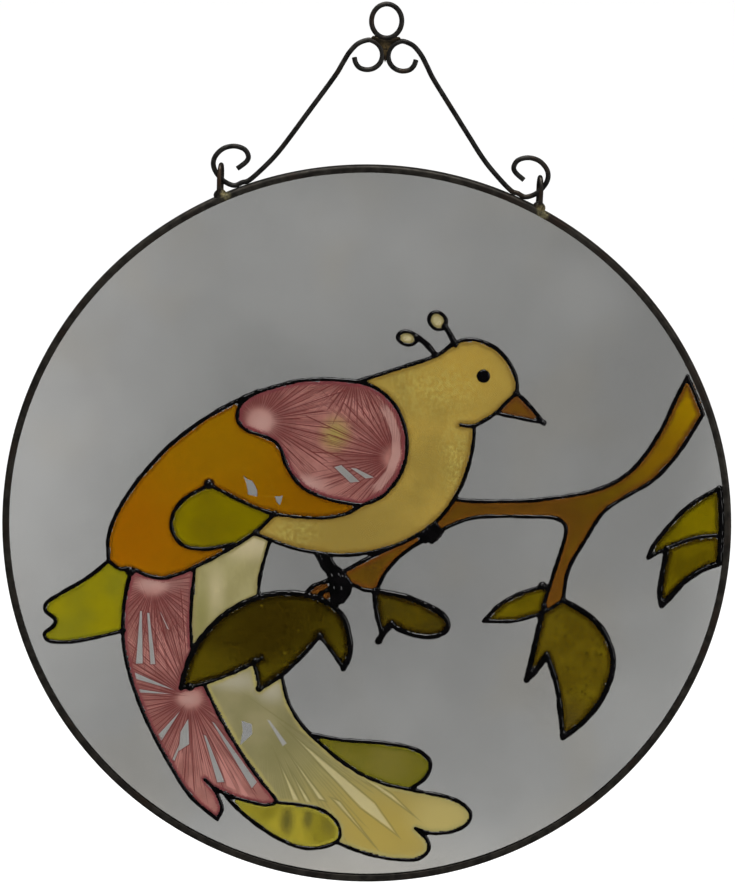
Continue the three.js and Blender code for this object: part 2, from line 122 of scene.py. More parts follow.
def vectorsOf(mesh, name):
    flat = np.empty(len(mesh.vertices) * 3)
    mesh.vertices.foreach_get(name, flat)
    return flat.reshape(-1, 3)


def movePoints(mesh, points):
    mesh.vertices.foreach_set("co", points.ravel())
    mesh.update()


def noiseField(points, grain, seed):  # about -1 to 1 for each point
    shift = Vector((seed * 7.3, seed * 3.1, seed * 5.7))
    return np.array([noise.noise(Vector(p) / grain + shift) for p in points])


def installed(piece, body, slot, material, *nodes):
    piece.data.materials.clear()
    piece.data.materials.append(material)
    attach(piece, body)
    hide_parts(*nodes)
    return piece


# a long lens a little above the glass, turned slightly
view = {"lens": 1200, "distance": 12.139, "elevation": 10.8, "roll": 2.27, "tilt": 0.1578, "pan": -0.0015}
elevation = math.radians(view["elevation"])
back = Vector((0, -math.cos(elevation), math.sin(elevation)))
camera = bpy.data.objects.new("camera", bpy.data.cameras.new("camera"))
camera.data.lens = view["lens"]
camera.data.clip_start, camera.data.clip_end = 0.1, 200
aim = (-back).to_track_quat("-Z", "Y").to_matrix().to_4x4()
for key, axis in (("roll", "Z"), ("tilt", "X"), ("pan", "Y")):
    aim = aim @ Matrix.Rotation(math.radians(view[key]), 4, axis)
camera.matrix_world = Matrix.Translation(discCentre + back * view["distance"]) @ aim
scene.collection.objects.link(camera)
scene.camera = camera
print("camera set")

# pale floor, an even bright surround, and soft panels that the dark metal and paste mirror
studio = {"floorDrop": 0.10, "floorSize": 80, "floor": "#FFFFFF", "surround": 1.04, "mirrored": 0.02,
          "panels": (("panelAbove", (-0.1, -0.1, 0.8), (1.4, 0.3), 9.0), ("panelFront", (-0.5, -1.1, 0.75),
        (0.25, 0.25), 2.0), ("panelRight", (0.95, -0.55, -0.05), (0.3, 0.7), 1.6))}
half = studio["floorSize"] / 2
floorHeight = rimLow.z - studio["floorDrop"]
floorPoints = [(x * half, y * half, floorHeight) for x, y in ((-1, -1), (1, -1), (1, 1), (-1, 1))]
floor = newPiece("floor", meshFrom("floor", floorPoints, [(0, 1, 2, 3)]))
floor.visible_glossy = False  # mirrors show the dim room, not the floor
floorPaint = bpy.data.materials.new("mattWhitePaint")
floorPaint.use_nodes = True
floorShader = floorPaint.node_tree.nodes["Principled BSDF"].inputs
floorShader["Base Color"].default_value = toLinear(studio["floor"])
floorShader["Roughness"].default_value = 0.9
floor.data.materials.append(floorPaint)

world = bpy.data.worlds.new("studio")
world.use_nodes = True
scene.world = world
sky = world.node_tree
sky.nodes.clear()
rays = addNode(sky, "LightPath")
mirror = addNode(sky, "Math", {0: rays["Is Glossy Ray"], 1: rays["Is Transmission Ray"]}, operation="SUBTRACT",
        use_clamp=True)
level = addNode(sky, "MapRange", {"Value": mirror[0], "To Min": studio["surround"], "To Max": studio["mirrored"]})
glow = addNode(sky, "Background", {"Color": (1, 1, 1, 1), "Strength": level[0]})
addNode(sky, "OutputWorld", {"Surface": glow[0]})

for name, place, size, power in studio["panels"]:
    lamp = bpy.data.lights.new(name, "AREA")
    lamp.shape, lamp.energy = "RECTANGLE", power
    lamp.size, lamp.size_y = size
    panel = bpy.data.objects.new(name, lamp)
    panel.location = place
    panel.rotation_euler = (discCentre - Vector(place)).to_track_quat("-Z", "Y").to_euler()
    scene.collection.objects.link(panel)
scene.view_settings.view_transform = "Standard"
print("studio lit")


# patterns that the materials share; all work in millimetres from the middle of the disc
def discPlace(tree):
    place = addNode(tree, "TexCoord")["Object"]
    lift = tuple(-c / mm for c in discCentre)
    return addNode(tree, "VectorMath", {0: place, 1: (1 / mm,) * 3, 2: lift}, operation="MULTIPLY_ADD")[0]


def flat(tree, place):  # drops the depth, so that a pattern runs straight through the sheet
    return addNode(tree, "VectorMath", {0: place, 1: (1, 0, 1)}, operation="MULTIPLY")[0]


def softNoise(tree, place, grain, low, high, detail=2.0, stretch=(1, 1, 1), seed=0.0):
    scaled = addNode(tree, "VectorMath", {0: place, 1: tuple(s / grain for s in stretch), 2: (seed, seed, seed)},
            operation="MULTIPLY_ADD")
    cloud = addNode(tree, "TexNoise", {"Vector": scaled[0], "Scale": 1.0, "Detail": detail})
    return addNode(tree, "MapRange", {"Value": cloud[0], "From Min": low, "From Max": high},
            interpolation_type="SMOOTHSTEP")[0]


def spot(tree, place, centre, radius, softness, squeeze=(1, 1)):  # 1 inside, 0 outside
    shifted = addNode(tree, "VectorMath", {0: place, 1: (centre[0], 0, centre[1])}, operation="SUBTRACT")
    sized = addNode(tree, "VectorMath", {0: shifted[0], 1: (1 / squeeze[0], 0, 1 / squeeze[1])}, operation="MULTIPLY")
    far = addNode(tree, "VectorMath", {0: sized[0]}, operation="LENGTH")["Value"]
    return addNode(tree, "MapRange", {"Value": far, "From Min": radius - softness, "From Max": radius + softness,
            "To Min": 1.0, "To Max": 0.0}, interpolation_type="SMOOTHSTEP")[0]


def either(tree, masks):  # the strongest of several masks
    total = masks[0]
    for mask in masks[1:]:
        total = addNode(tree, "Math", {0: total, 1: mask}, operation="MAXIMUM")[0]
    return total


def times(tree, first, second):
    return addNode(tree, "Math", {0: first, 1: second}, operation="MULTIPLY")[0]


def tinted(tree, base, mask, over):
    return addNode(tree, "Mix", {0: mask, 6: base, 7: over}, data_type="RGBA")[2]


def sideOf(tree, place, through, towards, jag=1.5, softness=0.3):  # 1 beyond a ragged line through a point
    shifted = addNode(tree, "VectorMath", {0: place, 1: (through[0], 0, through[1])}, operation="SUBTRACT")
    along = addNode(tree, "VectorMath", {0: shifted[0], 1: (towards[0], 0, towards[1])},
            operation="DOT_PRODUCT")["Value"]
    ragged = softNoise(tree, place, 2.5, 0.0, 1.0, 3.0, seed=31.0)
    moved = addNode(tree, "Math", {0: ragged, 1: 2 * jag, 2: along}, operation="MULTIPLY_ADD")[0]
    return addNode(tree, "MapRange", {"Value": moved, "From Min": jag - softness, "From Max": jag + softness},
            interpolation_type="SMOOTHSTEP")[0]


def crystalFan(tree, place, centre, wedges, seed, turn, reach):
    # crystals that grow out from one point: millimetres to the nearest wide and fine needle line, a number
    # for each wedge, and whether a needle still runs that far out
    shifted = addNode(tree, "VectorMath", {0: place, 1: (centre[0], 0, centre[1])}, operation="SUBTRACT")
    turned = addNode(tree, "VectorRotate", {"Vector": shifted[0], "Angle": math.radians(turn)},
            rotation_type="Y_AXIS")
    parts = addNode(tree, "SeparateXYZ", {0: turned[0]})
    angle = addNode(tree, "Math", {0: parts["Z"], 1: parts["X"]}, operation="ARCTAN2")[0]
    radius = addNode(tree, "VectorMath", {0: turned[0]}, operation="LENGTH")["Value"]
    gaps = []
    for count, shift in ((wedges, 0.0), (wedges * 3.3, 40.0)):
        along = addNode(tree, "Math", {0: angle, 1: count / (2 * math.pi), 2: seed + shift},
                operation="MULTIPLY_ADD")[0]
        line = addNode(tree, "TexVoronoi", {"W": along, "Scale": 1.0}, voronoi_dimensions="1D",
                feature="DISTANCE_TO_EDGE")["Distance"]
        gaps.append(times(tree, line, times(tree, radius, 2 * math.pi / count)))
        if not shift:
            cell = addNode(tree, "TexVoronoi", {"W": along, "Scale": 1.0}, voronoi_dimensions="1D", feature="F1")
            draws = addNode(tree, "SeparateColor", {0: cell["Color"]})
            length = addNode(tree, "TexNoise", {"W": along, "Scale": 1.3, "Detail": 1.0}, noise_dimensions="1D")[0]
    ends = addNode(tree, "MapRange", {"Value": length, "From Min": 0.3, "From Max": 0.7, "To Min": 0.5 * reach,
            "To Max": 1.15 * reach})[0]
    left = addNode(tree, "Math", {0: ends, 1: radius}, operation="SUBTRACT")[0]
    running = times(tree, ramp(tree, left, 0.0, 2.0), ramp(tree, radius, 3.0, 8.0))
    return {"wide": gaps[0], "fine": gaps[1], "tone": draws[0], "running": running}


def shardDepth(tree, place, outlines):  # mm inward from the edges of straight-sided pieces, below 0 outside them
    lifted = addNode(tree, "VectorMath", {0: place, 1: (0, 1, 0)}, operation="ADD")[0]
    deepest = None
    for corners in outlines:
        sides = list(zip(corners, corners[1:] + corners[:1]))
        turn = math.copysign(1, sum(a[0] * b[1] - b[0] * a[1] for a, b in sides))
        depth = None
        for a, b in sides:
            nx, nz = [turn * v / math.dist(a, b) for v in (a[1] - b[1], b[0] - a[0])]
            side = addNode(tree, "VectorMath", {0: lifted, 1: (nx, -nx * a[0] - nz * a[1], nz)},
                    operation="DOT_PRODUCT")["Value"]
            depth = side if depth is None else addNode(tree, "Math", {0: depth, 1: side}, operation="MINIMUM")[0]
        deepest = depth if deepest is None else addNode(tree, "Math", {0: deepest, 1: depth}, operation="MAXIMUM")[0]
    return deepest


def ramp(tree, value, low, high, atLow=0.0, atHigh=1.0):
    return addNode(tree, "MapRange", {"Value": value, "From Min": low, "From Max": high, "To Min": atLow,
            "To Max": atHigh}, interpolation_type="SMOOTHSTEP")[0]


# materials
# the dim light behind the glass: a level and soft areas (gain, centre, radius, softness, width and height)
backLight = {"level": 0.203, "areas": [(0.130, (-165, 35), 72, 58, (0.9, 1.5)), (0.045, (-55, 118), 55, 50,
        (1.5, 0.8)), (0.030, (30, 120), 50, 45, (1.1, 0.8)), (-0.030, (-12, -30), 35, 32, (1.4, 1.0)),
        (0.080, (168, 0), 45, 32, (0.6, 1.8)), (0.045, (140, -75), 45, 40, (0.8, 1.0)), (0.085, (5, -168), 48, 34,
        (2.2, 1.0)), (0.020, (88, 100), 12, 10, (1.0, 1.2))]}
paintLook = {"gain": 1.32, "front": 1.32}


def lightAt(x, z):
    total = backLight["level"]
    for gain, centre, radius, softness, size in backLight["areas"]:
        far = math.hypot((x - centre[0]) / size[0], (z - centre[1]) / size[1])
        share = min(1, max(0, (radius + softness - far) / (2 * softness)))
        total += gain * share * share * (3 - 2 * share)
    return total


def seen(code, veil=0.0, light=0.25):  # the paint's own colour, so that it shows this one in front of the lit glass
    strength = light * paintLook["gain"] * (1 - veil) + paintLook["front"] * veil
    return tuple(min(1.0, c / strength) for c in toLinear(code)[:3]) + (1.0,)


def newMaterial(name):
    material = bpy.data.materials.new(name)
    material.use_nodes = True
    material.node_tree.nodes.clear()
    return material, material.node_tree


def darkMetal(name, colors, grain, rough, patches=(), patchColor="#8C8660"):
    material, tree = newMaterial(name)
    place = discPlace(tree)
    mottle = softNoise(tree, place, grain, 0.35, 0.65, 4.0)
    color = tinted(tree, toLinear(colors[0]), mottle, toLinear(colors[1]))
    rust = softNoise(tree, place, grain * 4, 0.52, 0.7, 3.0, seed=4.0)
    color = tinted(tree, color, rust, toLinear(colors[2]))
    for centre, radius, softness in patches:  # solder that ran over the metal
        fleck = softNoise(tree, place, 1.1, 0.3, 0.6, 3.0, seed=9.0)
        color = tinted(tree, color, times(tree, spot(tree, place, centre, radius, softness), fleck),
                toLinear(patchColor))
    satin = softNoise(tree, place, grain * 0.5, 0.3, 0.7, 3.0, seed=2.0)
    roughness = addNode(tree, "MapRange", {"Value": satin, "To Min": rough - 0.1, "To Max": rough + 0.12})[0]
    pits = softNoise(tree, place, 0.5, 0.2, 0.8, 3.0, seed=6.0)
    bump = addNode(tree, "Bump", {"Height": pits, "Strength": 0.5, "Distance": 0.00006})[0]
    shader = addNode(tree, "BsdfPrincipled", {"Base Color": color, "Metallic": 0.75, "Roughness": roughness,
            "Normal": bump})
    addNode(tree, "OutputMaterial", {"Surface": shader[0]})
    return material


# annealed steel wire blackened with patina: dark, satin, a trace of brown
steelWire = darkMetal("blackenedSteelWire", ("#232220", "#3A3835", "#40352C"), 3.0, 0.42)
eyeletWire = darkMetal("solderedSteelWire", ("#2A2724", "#45403A", "#4C3B2E"), 2.0, 0.38,
        patches=[((-63.6, 135.8), 1.7, 0.9), ((66.6, 134.2), 2.2, 1.0)], patchColor="#A09468")
# rolled lead came with black patina: dull grey-brown, worn lighter in places
leadCame = darkMetal("patinatedLeadCame", ("#2E2B27", "#413D37", "#3A2F28"), 3.5, 0.45,
        patches=[((-63.2, 135.2), 1.8, 1.0), ((67.4, 133.2), 2.6, 1.0)], patchColor="#8C8460")
# tin and lead solder left to tarnish: brown-grey, uneven
tarnishedSolder = darkMetal("tarnishedSolder", ("#2C261C", "#443A2A", "#3C2C1E"), 1.6, 0.4,
        patches=[((0, 198.6), 2.2, 1.6)], patchColor="#6E5C3C")


def floatGlass():  # float glass, polished, clear; the dim grey is the light it lets through
    material, tree = newMaterial("floatGlass")
    place = flat(tree, discPlace(tree))
    bright = backLight["level"]
    for gain, centre, radius, softness, size in backLight["areas"]:
        share = spot(tree, place, centre, radius, softness, size)
        bright = addNode(tree, "Math", {0: share, 1: gain, 2: bright}, operation="MULTIPLY_ADD")[0]
    clouds = softNoise(tree, place, 42.0, 0.3, 0.7, 3.0, seed=1.7)
    swing = addNode(tree, "MapRange", {"Value": clouds, "To Min": 0.95, "To Max": 1.05})[0]
    dust = addNode(tree, "TexVoronoi", {"Vector": place, "Scale": 0.16, "Randomness": 1.0}, feature="F1")
    chance = addNode(tree, "SeparateColor", {0: dust["Color"]})[0]
    grains = addNode(tree, "MapRange", {"Value": dust["Distance"], "From Min": 0.03, "From Max": 0.07, "To Min": 1.0,
            "To Max": 0.0})[0]
    some = addNode(tree, "Math", {0: chance, 1: 0.8}, operation="GREATER_THAN")[0]
    speck = addNode(tree, "MapRange", {"Value": times(tree, grains, some), "To Min": 1.0, "To Max": 1.25})[0]
    bright = times(tree, times(tree, bright, swing), speck)
    # a warmer tint: in soft random patches, and near the bottom edge a painted warm glow of the light behind the
    # glass
    warm = either(tree, [times(tree, softNoise(tree, place, 55.0, 0.5, 0.7, 2.0, seed=5.1), 0.6),
            spot(tree, place, (0, -158), 26, 20, (2.2, 1.0))])
    tone = tinted(tree, (1, 1, 0.975, 1), warm, (1, 0.965, 0.88, 1))
    color = addNode(tree, "VectorMath", {0: tone, 3: bright}, operation="SCALE")[0]
    shader = addNode(tree, "BsdfPrincipled", {"Base Color": color, "Transmission Weight": 1.0, "Roughness": 0.0,
            "IOR": 1.52})
    addNode(tree, "OutputMaterial", {"Surface": shader[0]})
    return material


def contourPaste():  # thick acrylic relief paste, piped and air-dried: black, glossy, faintly rippled
    material, tree = newMaterial("contourPaste")
    place = discPlace(tree)
    tone = softNoise(tree, place, 6.0, 0.3, 0.7)
    color = tinted(tree, toLinear("#020202"), tone, toLinear("#060506"))
    ripple = softNoise(tree, place, 1.4, 0.2, 0.8, 2.0, seed=3.0)
    bump = addNode(tree, "Bump", {"Height": ripple, "Strength": 0.25, "Distance": 0.00006})[0]
    shader = addNode(tree, "BsdfPrincipled", {"Base Color": color, "Roughness": 0.1, "IOR": 1.5, "Normal": bump})
    addNode(tree, "OutputMaterial", {"Surface": shader[0]})
    return material


def glassPaint(name, look, extra=None):
    # solvent-based glass paint, poured between the contours and air-dried: clear, glossy, thicker along its edge
    material, tree = newMaterial(name)
    place = flat(tree, discPlace(tree))
    veil, light = look.get("veil", 0.0), look["light"]
    mottle = softNoise(tree, place, look["grain"], look.get("low", 0.35), look.get("high", 0.65),
            look.get("detail", 3.0), look.get("stretch", (1, 1, 1)), look.get("seed", 0.0))
    color = tinted(tree, seen(look["colors"][0], veil, light), mottle, seen(look["colors"][1], veil, light))
    for tone, centre, radius, softness, squeeze in look.get("areas", ()):
        color = tinted(tree, color, spot(tree, place, centre, radius, softness, squeeze), seen(tone, veil, light))
    height, clouding = mottle, veil
    if extra:
        color, clouding, height = extra(tree, place, color, veil, light, height)
    # the paint takes another tone along its outline, next to the contour lines: darker in most films, partly the
    # paint pooled thicker there and partly painted shade beside the raised contours; paler in a few
    edge = addNode(tree, "Attribute", attribute_name="edge")["Fac"]
    rimTone, rimWidth = look["rim"]
    grain, least, most = look.get("fringe", (4.0, 0.6, 1.3))
    waver = softNoise(tree, place, grain, 0.2, 0.8, 2.0, seed=12.0)
    wide = addNode(tree, "MapRange", {"Value": waver, "To Min": rimWidth * least, "To Max": rimWidth * most})[0]
    share = ramp(tree, edge, -0.2, wide, 1.0, 0.0)
    color = tinted(tree, color, share, seen(rimTone, veil, light))
    bump = addNode(tree, "Bump", {"Height": height, "Strength": 0.5, "Distance": look.get("relief", 0.05) * mm})[0]
    if isinstance(clouding, bpy.types.NodeSocket):
        clear = addNode(tree, "Math", {0: 1.0, 1: clouding}, operation="SUBTRACT")[0]
    else:
        clear = 1.0 - clouding
    shader = addNode(tree, "BsdfPrincipled", {"Base Color": color, "Transmission Weight": clear,
            "Roughness": look.get("rough", 0.14), "IOR": 1.48, "Normal": bump})
    addNode(tree, "OutputMaterial", {"Surface": shader[0]})
    return material


def needleCrystals(fans, contrast, palePieces, barePieces, paleSpots, glowSpots, bands, tones):
    # ice-flower lacquer: it dries in long needles, dark red between paler crystals, and clear where it pulled away
    def grow(tree, place, color, veil, light, height):
        edge = addNode(tree, "Attribute", attribute_name="edge")["Fac"]
        grown = [crystalFan(tree, place, *fan) for fan in fans]
        wideLine = either(tree, [times(tree, ramp(tree, fan["wide"], 0.10, 0.32, 1.0, 0.0), fan["running"])
                for fan in grown])
        fineLine = either(tree, [times(tree, ramp(tree, fan["fine"], 0.04, 0.22, 1.0, 0.0), fan["running"])
                for fan in grown])
        pale = either(tree, [times(tree, ramp(tree, fan["tone"], 0.66, 0.76), fan["running"]) for fan in grown])
        dusk = either(tree, [times(tree, ramp(tree, fan["tone"], 0.30, 0.20), fan["running"]) for fan in grown])
        color = tinted(tree, color, times(tree, dusk, contrast), seen(tones["dusk"], veil, light))
        color = tinted(tree, color, times(tree, pale, contrast), seen(tones["pale"], veil, light))
        color = tinted(tree, color, times(tree, ramp(tree, shardDepth(tree, place, palePieces), 0.0, 0.5), 0.85),
                seen(tones["pale"], veil, light))
        halo = either(tree, [spot(tree, place, *where) for where in paleSpots])
        for where, nearEdge, farEdge in bands:
            band = times(tree, ramp(tree, edge, nearEdge, nearEdge + 0.8), ramp(tree, edge, farEdge, farEdge + 0.6,
                    1.0, 0.0))
            halo = either(tree, [halo, times(tree, times(tree, band, spot(tree, place, *where)), 0.8)])
        color = tinted(tree, color, halo, seen(tones["halo"], veil, light))
        for where in glowSpots:
            color = tinted(tree, color, times(tree, spot(tree, place, *where), 0.85), seen("#948840", veil, light))
        calm = ramp(tree, halo, 0.0, 1.0, 1.0, 0.1)
        color = tinted(tree, color, times(tree, times(tree, fineLine, calm), 0.7), seen(tones["line"], veil, light))
        color = tinted(tree, color, times(tree, times(tree, wideLine, calm), 0.95), seen(tones["line"], veil, light))
        depth = shardDepth(tree, place, barePieces)
        outlined = times(tree, ramp(tree, depth, -0.4, -0.1), ramp(tree, depth, 0.0, 0.2, 1.0, 0.0))
        color = tinted(tree, color, times(tree, outlined, 0.8), seen(tones["line"], veil, light))
        bare = ramp(tree, depth, 0.0, 0.2)
        color = tinted(tree, color, bare, (0.9, 0.9, 0.88, 1))
        fog = addNode(tree, "MapRange", {"Value": bare, "To Min": veil, "To Max": 0.0})[0]
        rise = addNode(tree, "Math", {0: 1.0, 1: either(tree, [wideLine, fineLine])}, operation="SUBTRACT")[0]
        return color, fog, rise
    return grow


def paleStreaks(fan, through, towards, palePieces, thinPieces, tone, shade):
    # the same lacquer in cream: long pale wedges that fan out from one point
    def grow(tree, place, color, veil, light, height):
        grown = crystalFan(tree, place, *fan)
        here = times(tree, sideOf(tree, place, through, towards, 4.0, 4.0), grown["running"])
        color = tinted(tree, color, times(tree, ramp(tree, grown["fine"], 0.1, 0.5, 0.4, 0.0), here),
                seen(shade, veil, light))
        depth = shardDepth(tree, place, palePieces)
        sides = times(tree, ramp(tree, depth, -0.6, -0.1), ramp(tree, depth, 0.0, 0.5, 1.0, 0.0))
        body = ramp(tree, depth, 0.0, 0.9)
        color = tinted(tree, color, times(tree, sides, 0.6), seen(shade, veil, light))
        color = tinted(tree, color, times(tree, body, 0.9), seen(tone, veil, light))
        thin = ramp(tree, shardDepth(tree, place, thinPieces), 0.0, 0.6)
        color = tinted(tree, color, times(tree, thin, 0.75), (0.84, 0.84, 0.86, 1))
        fog = addNode(tree, "MapRange", {"Value": thin, "To Min": veil, "To Max": veil * 0.3})[0]
        return color, fog, body
    return grow


def scratches(outlines, tone, then):  # hairline marks, then another pattern
    def draw(tree, place, color, veil, light, height):
        mark = ramp(tree, shardDepth(tree, place, outlines), -0.06, 0.06)
        color = tinted(tree, color, times(tree, mark, 0.55), seen(tone, veil, light))
        return then(tree, place, color, veil, light, height)
    return draw


def crackle(areas, grain, tone):  # raised worm-like flecks where the paint curdled
    def curdle(tree, place, color, veil, light, height):
        worm = softNoise(tree, place, grain, 0.47, 0.56, 1.0, seed=44.0)
        back = softNoise(tree, place, grain, 0.56, 0.66, 1.0, seed=44.0)
        only = addNode(tree, "Math", {0: worm, 1: back}, operation="SUBTRACT", use_clamp=True)[0]
        here = either(tree, [spot(tree, place, c, r, s, q) for c, r, s, q in areas])
        flecks = times(tree, only, addNode(tree, "MapRange", {"Value": here, "To Min": 0.12, "To Max": 0.6})[0])
        lifted = addNode(tree, "Math", {0: flecks, 1: 2.5, 2: height}, operation="MULTIPLY_ADD")[0]
        return tinted(tree, color, flecks, seen(tone, veil, light)), veil, lifted
    return curdle


def bubbles(spacing, size, tone, share):  # small bubbles and pinholes that dried in
    def scatter(tree, place, color, veil, light, height):
        cell = addNode(tree, "TexVoronoi", {"Vector": place, "Scale": 1 / spacing}, feature="F1")
        chance = addNode(tree, "SeparateColor", {0: cell["Color"]})[0]
        some = addNode(tree, "Math", {0: chance, 1: 1 - share}, operation="GREATER_THAN")[0]
        disc = addNode(tree, "MapRange", {"Value": cell["Distance"], "From Min": size / spacing * 0.5,
                "From Max": size / spacing, "To Min": 1.0, "To Max": 0.0})[0]
        holes = times(tree, disc, some)
        sunk = addNode(tree, "Math", {0: height, 1: holes}, operation="SUBTRACT")[0]
        return tinted(tree, color, times(tree, holes, 0.7), seen(tone, veil, light)), veil, sunk
    return scatter


def paintMaterials():
    paints = {}
    paints["head_and_breast"] = ("yellowGlassPaint", {"colors": ("#8C7835", "#98823A"), "grain": 16, "low": 0.35,
            "high": 0.65, "detail": 3, "veil": 0.12, "relief": 0.05, "rough": 0.22,
            "areas": [("#8A7634", (-8, -4), 14, 12, (1.6, 0.8)), ("#9C8438", (38, 66), 16, 14, (1, 1))],
            "rim": ("#80692A", 1.4)}, crackle([((-31, -4), 9, 6, (1.2, 0.6)), ((36, 30), 8, 7, (0.7, 2)),
            ((26, 58), 12, 10, (1.4, 0.8))], 1.5, "#B4A25C"))
    paints["wing"] = ("amberGlassPaint", {"colors": ("#825802", "#875F03"), "grain": 34, "detail": 2, "relief": 0.05,
            "rough": 0.08, "areas": [("#845402", (-100, -12), 26, 22, (1, 1.2)), ("#866204", (-62, 36), 22, 20,
            (1.2, 1))], "rim": ("#6E4503", 1)}, scratches([[(-89.5, 6.6), (-84, 6.7), (-84, 6.9)],
            [(-84, 6.7), (-79.4, 8.9), (-79.5, 9.1)], [(-79.5, 8.9), (-76.3, 12.3), (-76.5, 12.4)],
            [(-60.9, 20.2), (-50, 21.7), (-50, 22)], [(-45.6, 10), (-38.5, 10.1), (-38.5, 10.4)],
            [(-38.6, 10.2), (-39.7, 15), (-39.4, 15)], [(-39.6, 15), (-42.4, 20.1), (-42.2, 20.2)]], "#A47C26",
            bubbles(7, 0.45, "#9C7A20", 0.35)))
    rose = {"pale": "#AE7C74", "dusk": "#84504A", "halo": "#A8867E", "line": "#6A302E"}
    paints["wing_patch"] = ("roseCrystalLacquer", {"colors": ("#8E5E56", "#9E6E66"), "grain": 10, "veil": 0.16,
            "relief": 0.12, "rough": 0.3, "rim": ("#76363A", 1.1), "fringe": (0.7, -0.1, 2.2)},
            needleCrystals([((-46, 42), 66, 11, 180, 36), ((10.5, 28.5), 66, 27, 0, 36),
            ((-7, 63.5), 60, 53, 90, 22)], 0.4, [[(-15, 52.2), (-7.5, 53.4), (6, 40.8)]],
            [[(-14.5, 23.6), (-11.4, 24.6), (-3.4, 17.8), (-7.4, 17.2)], [(-8, 23.6), (-5.2, 23.4), (2.6, 19.8),
            (-1.2, 19.2)]], [((-44.5, 41), 4.5, 4.5, (1.3, 1.1)), ((-27, 15.5), 5, 4, (1.8, 0.7))],
            [((-14.3, 37.2), 5, 4.5, (0.95, 1.15))], [(((18, 30), 22, 3, (0.9, 1.2)), 0.6, 4.2)], rose))
    paints["tail_pink"] = ("roseCrystalLacquerTail", {"colors": ("#8E5E56", "#A07068"), "grain": 10, "veil": 0.16,
            "relief": 0.12, "rough": 0.3, "rim": ("#7A3C3E", 0.9), "fringe": (0.7, 0, 2)},
            needleCrystals([((-87, -28.5), 60, 5, 90, 36), ((-70, -75.6), 60, 71, 0, 48)], 0.5,
            [[(-85.2, -42.5), (-83.8, -43.5), (-79.4, -66), (-82.8, -64)], [(-83.6, -47), (-74.6, -61.8),
            (-75.4, -69), (-78.6, -66.6)], [(-59.8, -93.6), (-55.4, -99.6), (-48.9, -114), (-53.6, -112)],
             [(-52.4, -103.6), (-43.6, -116.2), (-46.8, -116.6)]],
            [[(-91.9, -39.8), (-91, -39.8), (-89.8, -62), (-92.8, -62.2)], [(-89, -40.4), (-87.9, -40.6),
            (-84.6, -62), (-86.8, -62.2)], [(-84.1, -39.2), (-83, -40.6), (-79.3, -47.6), (-80.4, -47)],
             [(-75, -73), (-93.2, -65.6), (-92.4, -68.6)], [(-75.5, -74.4), (-91, -72.6), (-91.2, -74.2)],
             [(-73.2, -80.4), (-83.6, -92.8), (-81.2, -94.6)], [(-70.2, -84), (-69.4, -95), (-73.8, -98.2),
            (-73.4, -90)], [(-73.2, -94), (-73.8, -98.2), (-75.2, -102.2), (-76.4, -102)],
             [(-63.8, -90.5), (-62.6, -91.2), (-54.2, -110.4), (-57.4, -110.6)], [(-60.8, -84.8), (-59.4, -85.6),
            (-40.8, -109.6), (-43, -112.6)]], [((-86.5, -28.6), 3.5, 4.5, (2.6, 0.8)),
            ((-70.4, -76), 2.8, 3.4, (1.5, 0.9))], [], [], rose))
    paints["tail_cream_upper"] = ("creamGlassPaint", {"colors": ("#8E8658", "#9A9265"), "grain": 9, "low": 0.36,
            "high": 0.62, "detail": 3, "stretch": (1.3, 1, 0.7), "veil": 0.3, "relief": 0.12, "rough": 0.3,
            "areas": [("#AFA482", (-48, -9), 8, 7, (1.5, 0.8)), ("#A89E78", (-61, -30), 5, 5, (0.6, 1.6)),
            ("#86804C", (-67, -42), 6, 5, (0.6, 2))], "rim": ("#8A8050", 1)})
    paints["tail_cream_lower"] = ("creamCrystalLacquer", {"colors": ("#827C54", "#8E8660"), "grain": 13, "veil": 0.3,
            "relief": 0.12, "rough": 0.28, "areas": [("#A09A84", (-52, -67.5), 5, 5, (1.8, 0.7)),
            ("#A09A84", (-36.5, -71), 4.5, 4, (1.2, 1)), ("#928A58", (-2, -106), 18, 16, (1.6, 0.8)),
            ("#A08E44", (12, -128), 20, 16, (1.6, 1)), ("#A89A5C", (36, -121), 12, 8, (1, 0.8))],
            "rim": ("#9C9258", 1.2)}, paleStreaks(((-38.5, -81.5), 60, 7, 150, 60), (-34, -88), (0.75, -0.35),
            [[(-31, -83.8), (15, -112.6), (24, -121)], [(-29.2, -87.5), (8, -116.5), (18, -130), (2, -119)],
             [(-30.4, -94.4), (-12.2, -116.6), (-15.4, -116.2)], [(-33, -99.2), (-22.8, -117.4), (-25.8, -117.6)],
             [(-27.8, -103.6), (-18.2, -117.6), (-20.4, -118)], [(-10.4, -115), (-6.4, -116.4), (8, -134)]],
            [[(-38.4, -83), (-36.6, -83.4), (-29, -93), (-31, -94.6)]], "#B2A87C", "#726C40"))
    green = {"grain": 20, "detail": 2, "relief": 0.05, "rough": 0.08}
    paints["wing_feather"] = ("greenGlassPaintWing", {**green, "colors": ("#695C05", "#726601"),
            "rim": ("#5C5206", 0.8)}, bubbles(8, 0.4, "#8C8030", 0.3))
    paints["tail_green_left"] = ("greenGlassPaintTail", {**green, "colors": ("#7A7518", "#857C0C"),
            "rim": ("#6E6A10", 1)}, bubbles(9, 0.4, "#4A4810", 0.3))
    paints["tail_green_right"] = ("greenGlassPaintRight", {**green, "colors": ("#625C1C", "#6A632A"),
            "rim": ("#5E5A16", 1.2)})
    paints["tail_green_bottom"] = ("greenGlassPaintBottom", {**green, "colors": ("#766E20", "#8C822C"),
            "areas": [("#5C5626", (-28, -125.5), 2.8, 2.6, (0.8, 1.8)), ("#625C28", (-19.3, -124), 2.2, 2,
            (0.8, 1.8)), ("#6A6224", (-10.8, -127), 2.6, 2.4, (1, 1.4))], "rim": ("#857E30", 1.2)})
    olive = {"grain": 16, "relief": 0.08, "rough": 0.12}
    leafBubbles = bubbles(2.6, 0.8, "#6A5C18", 0.16)
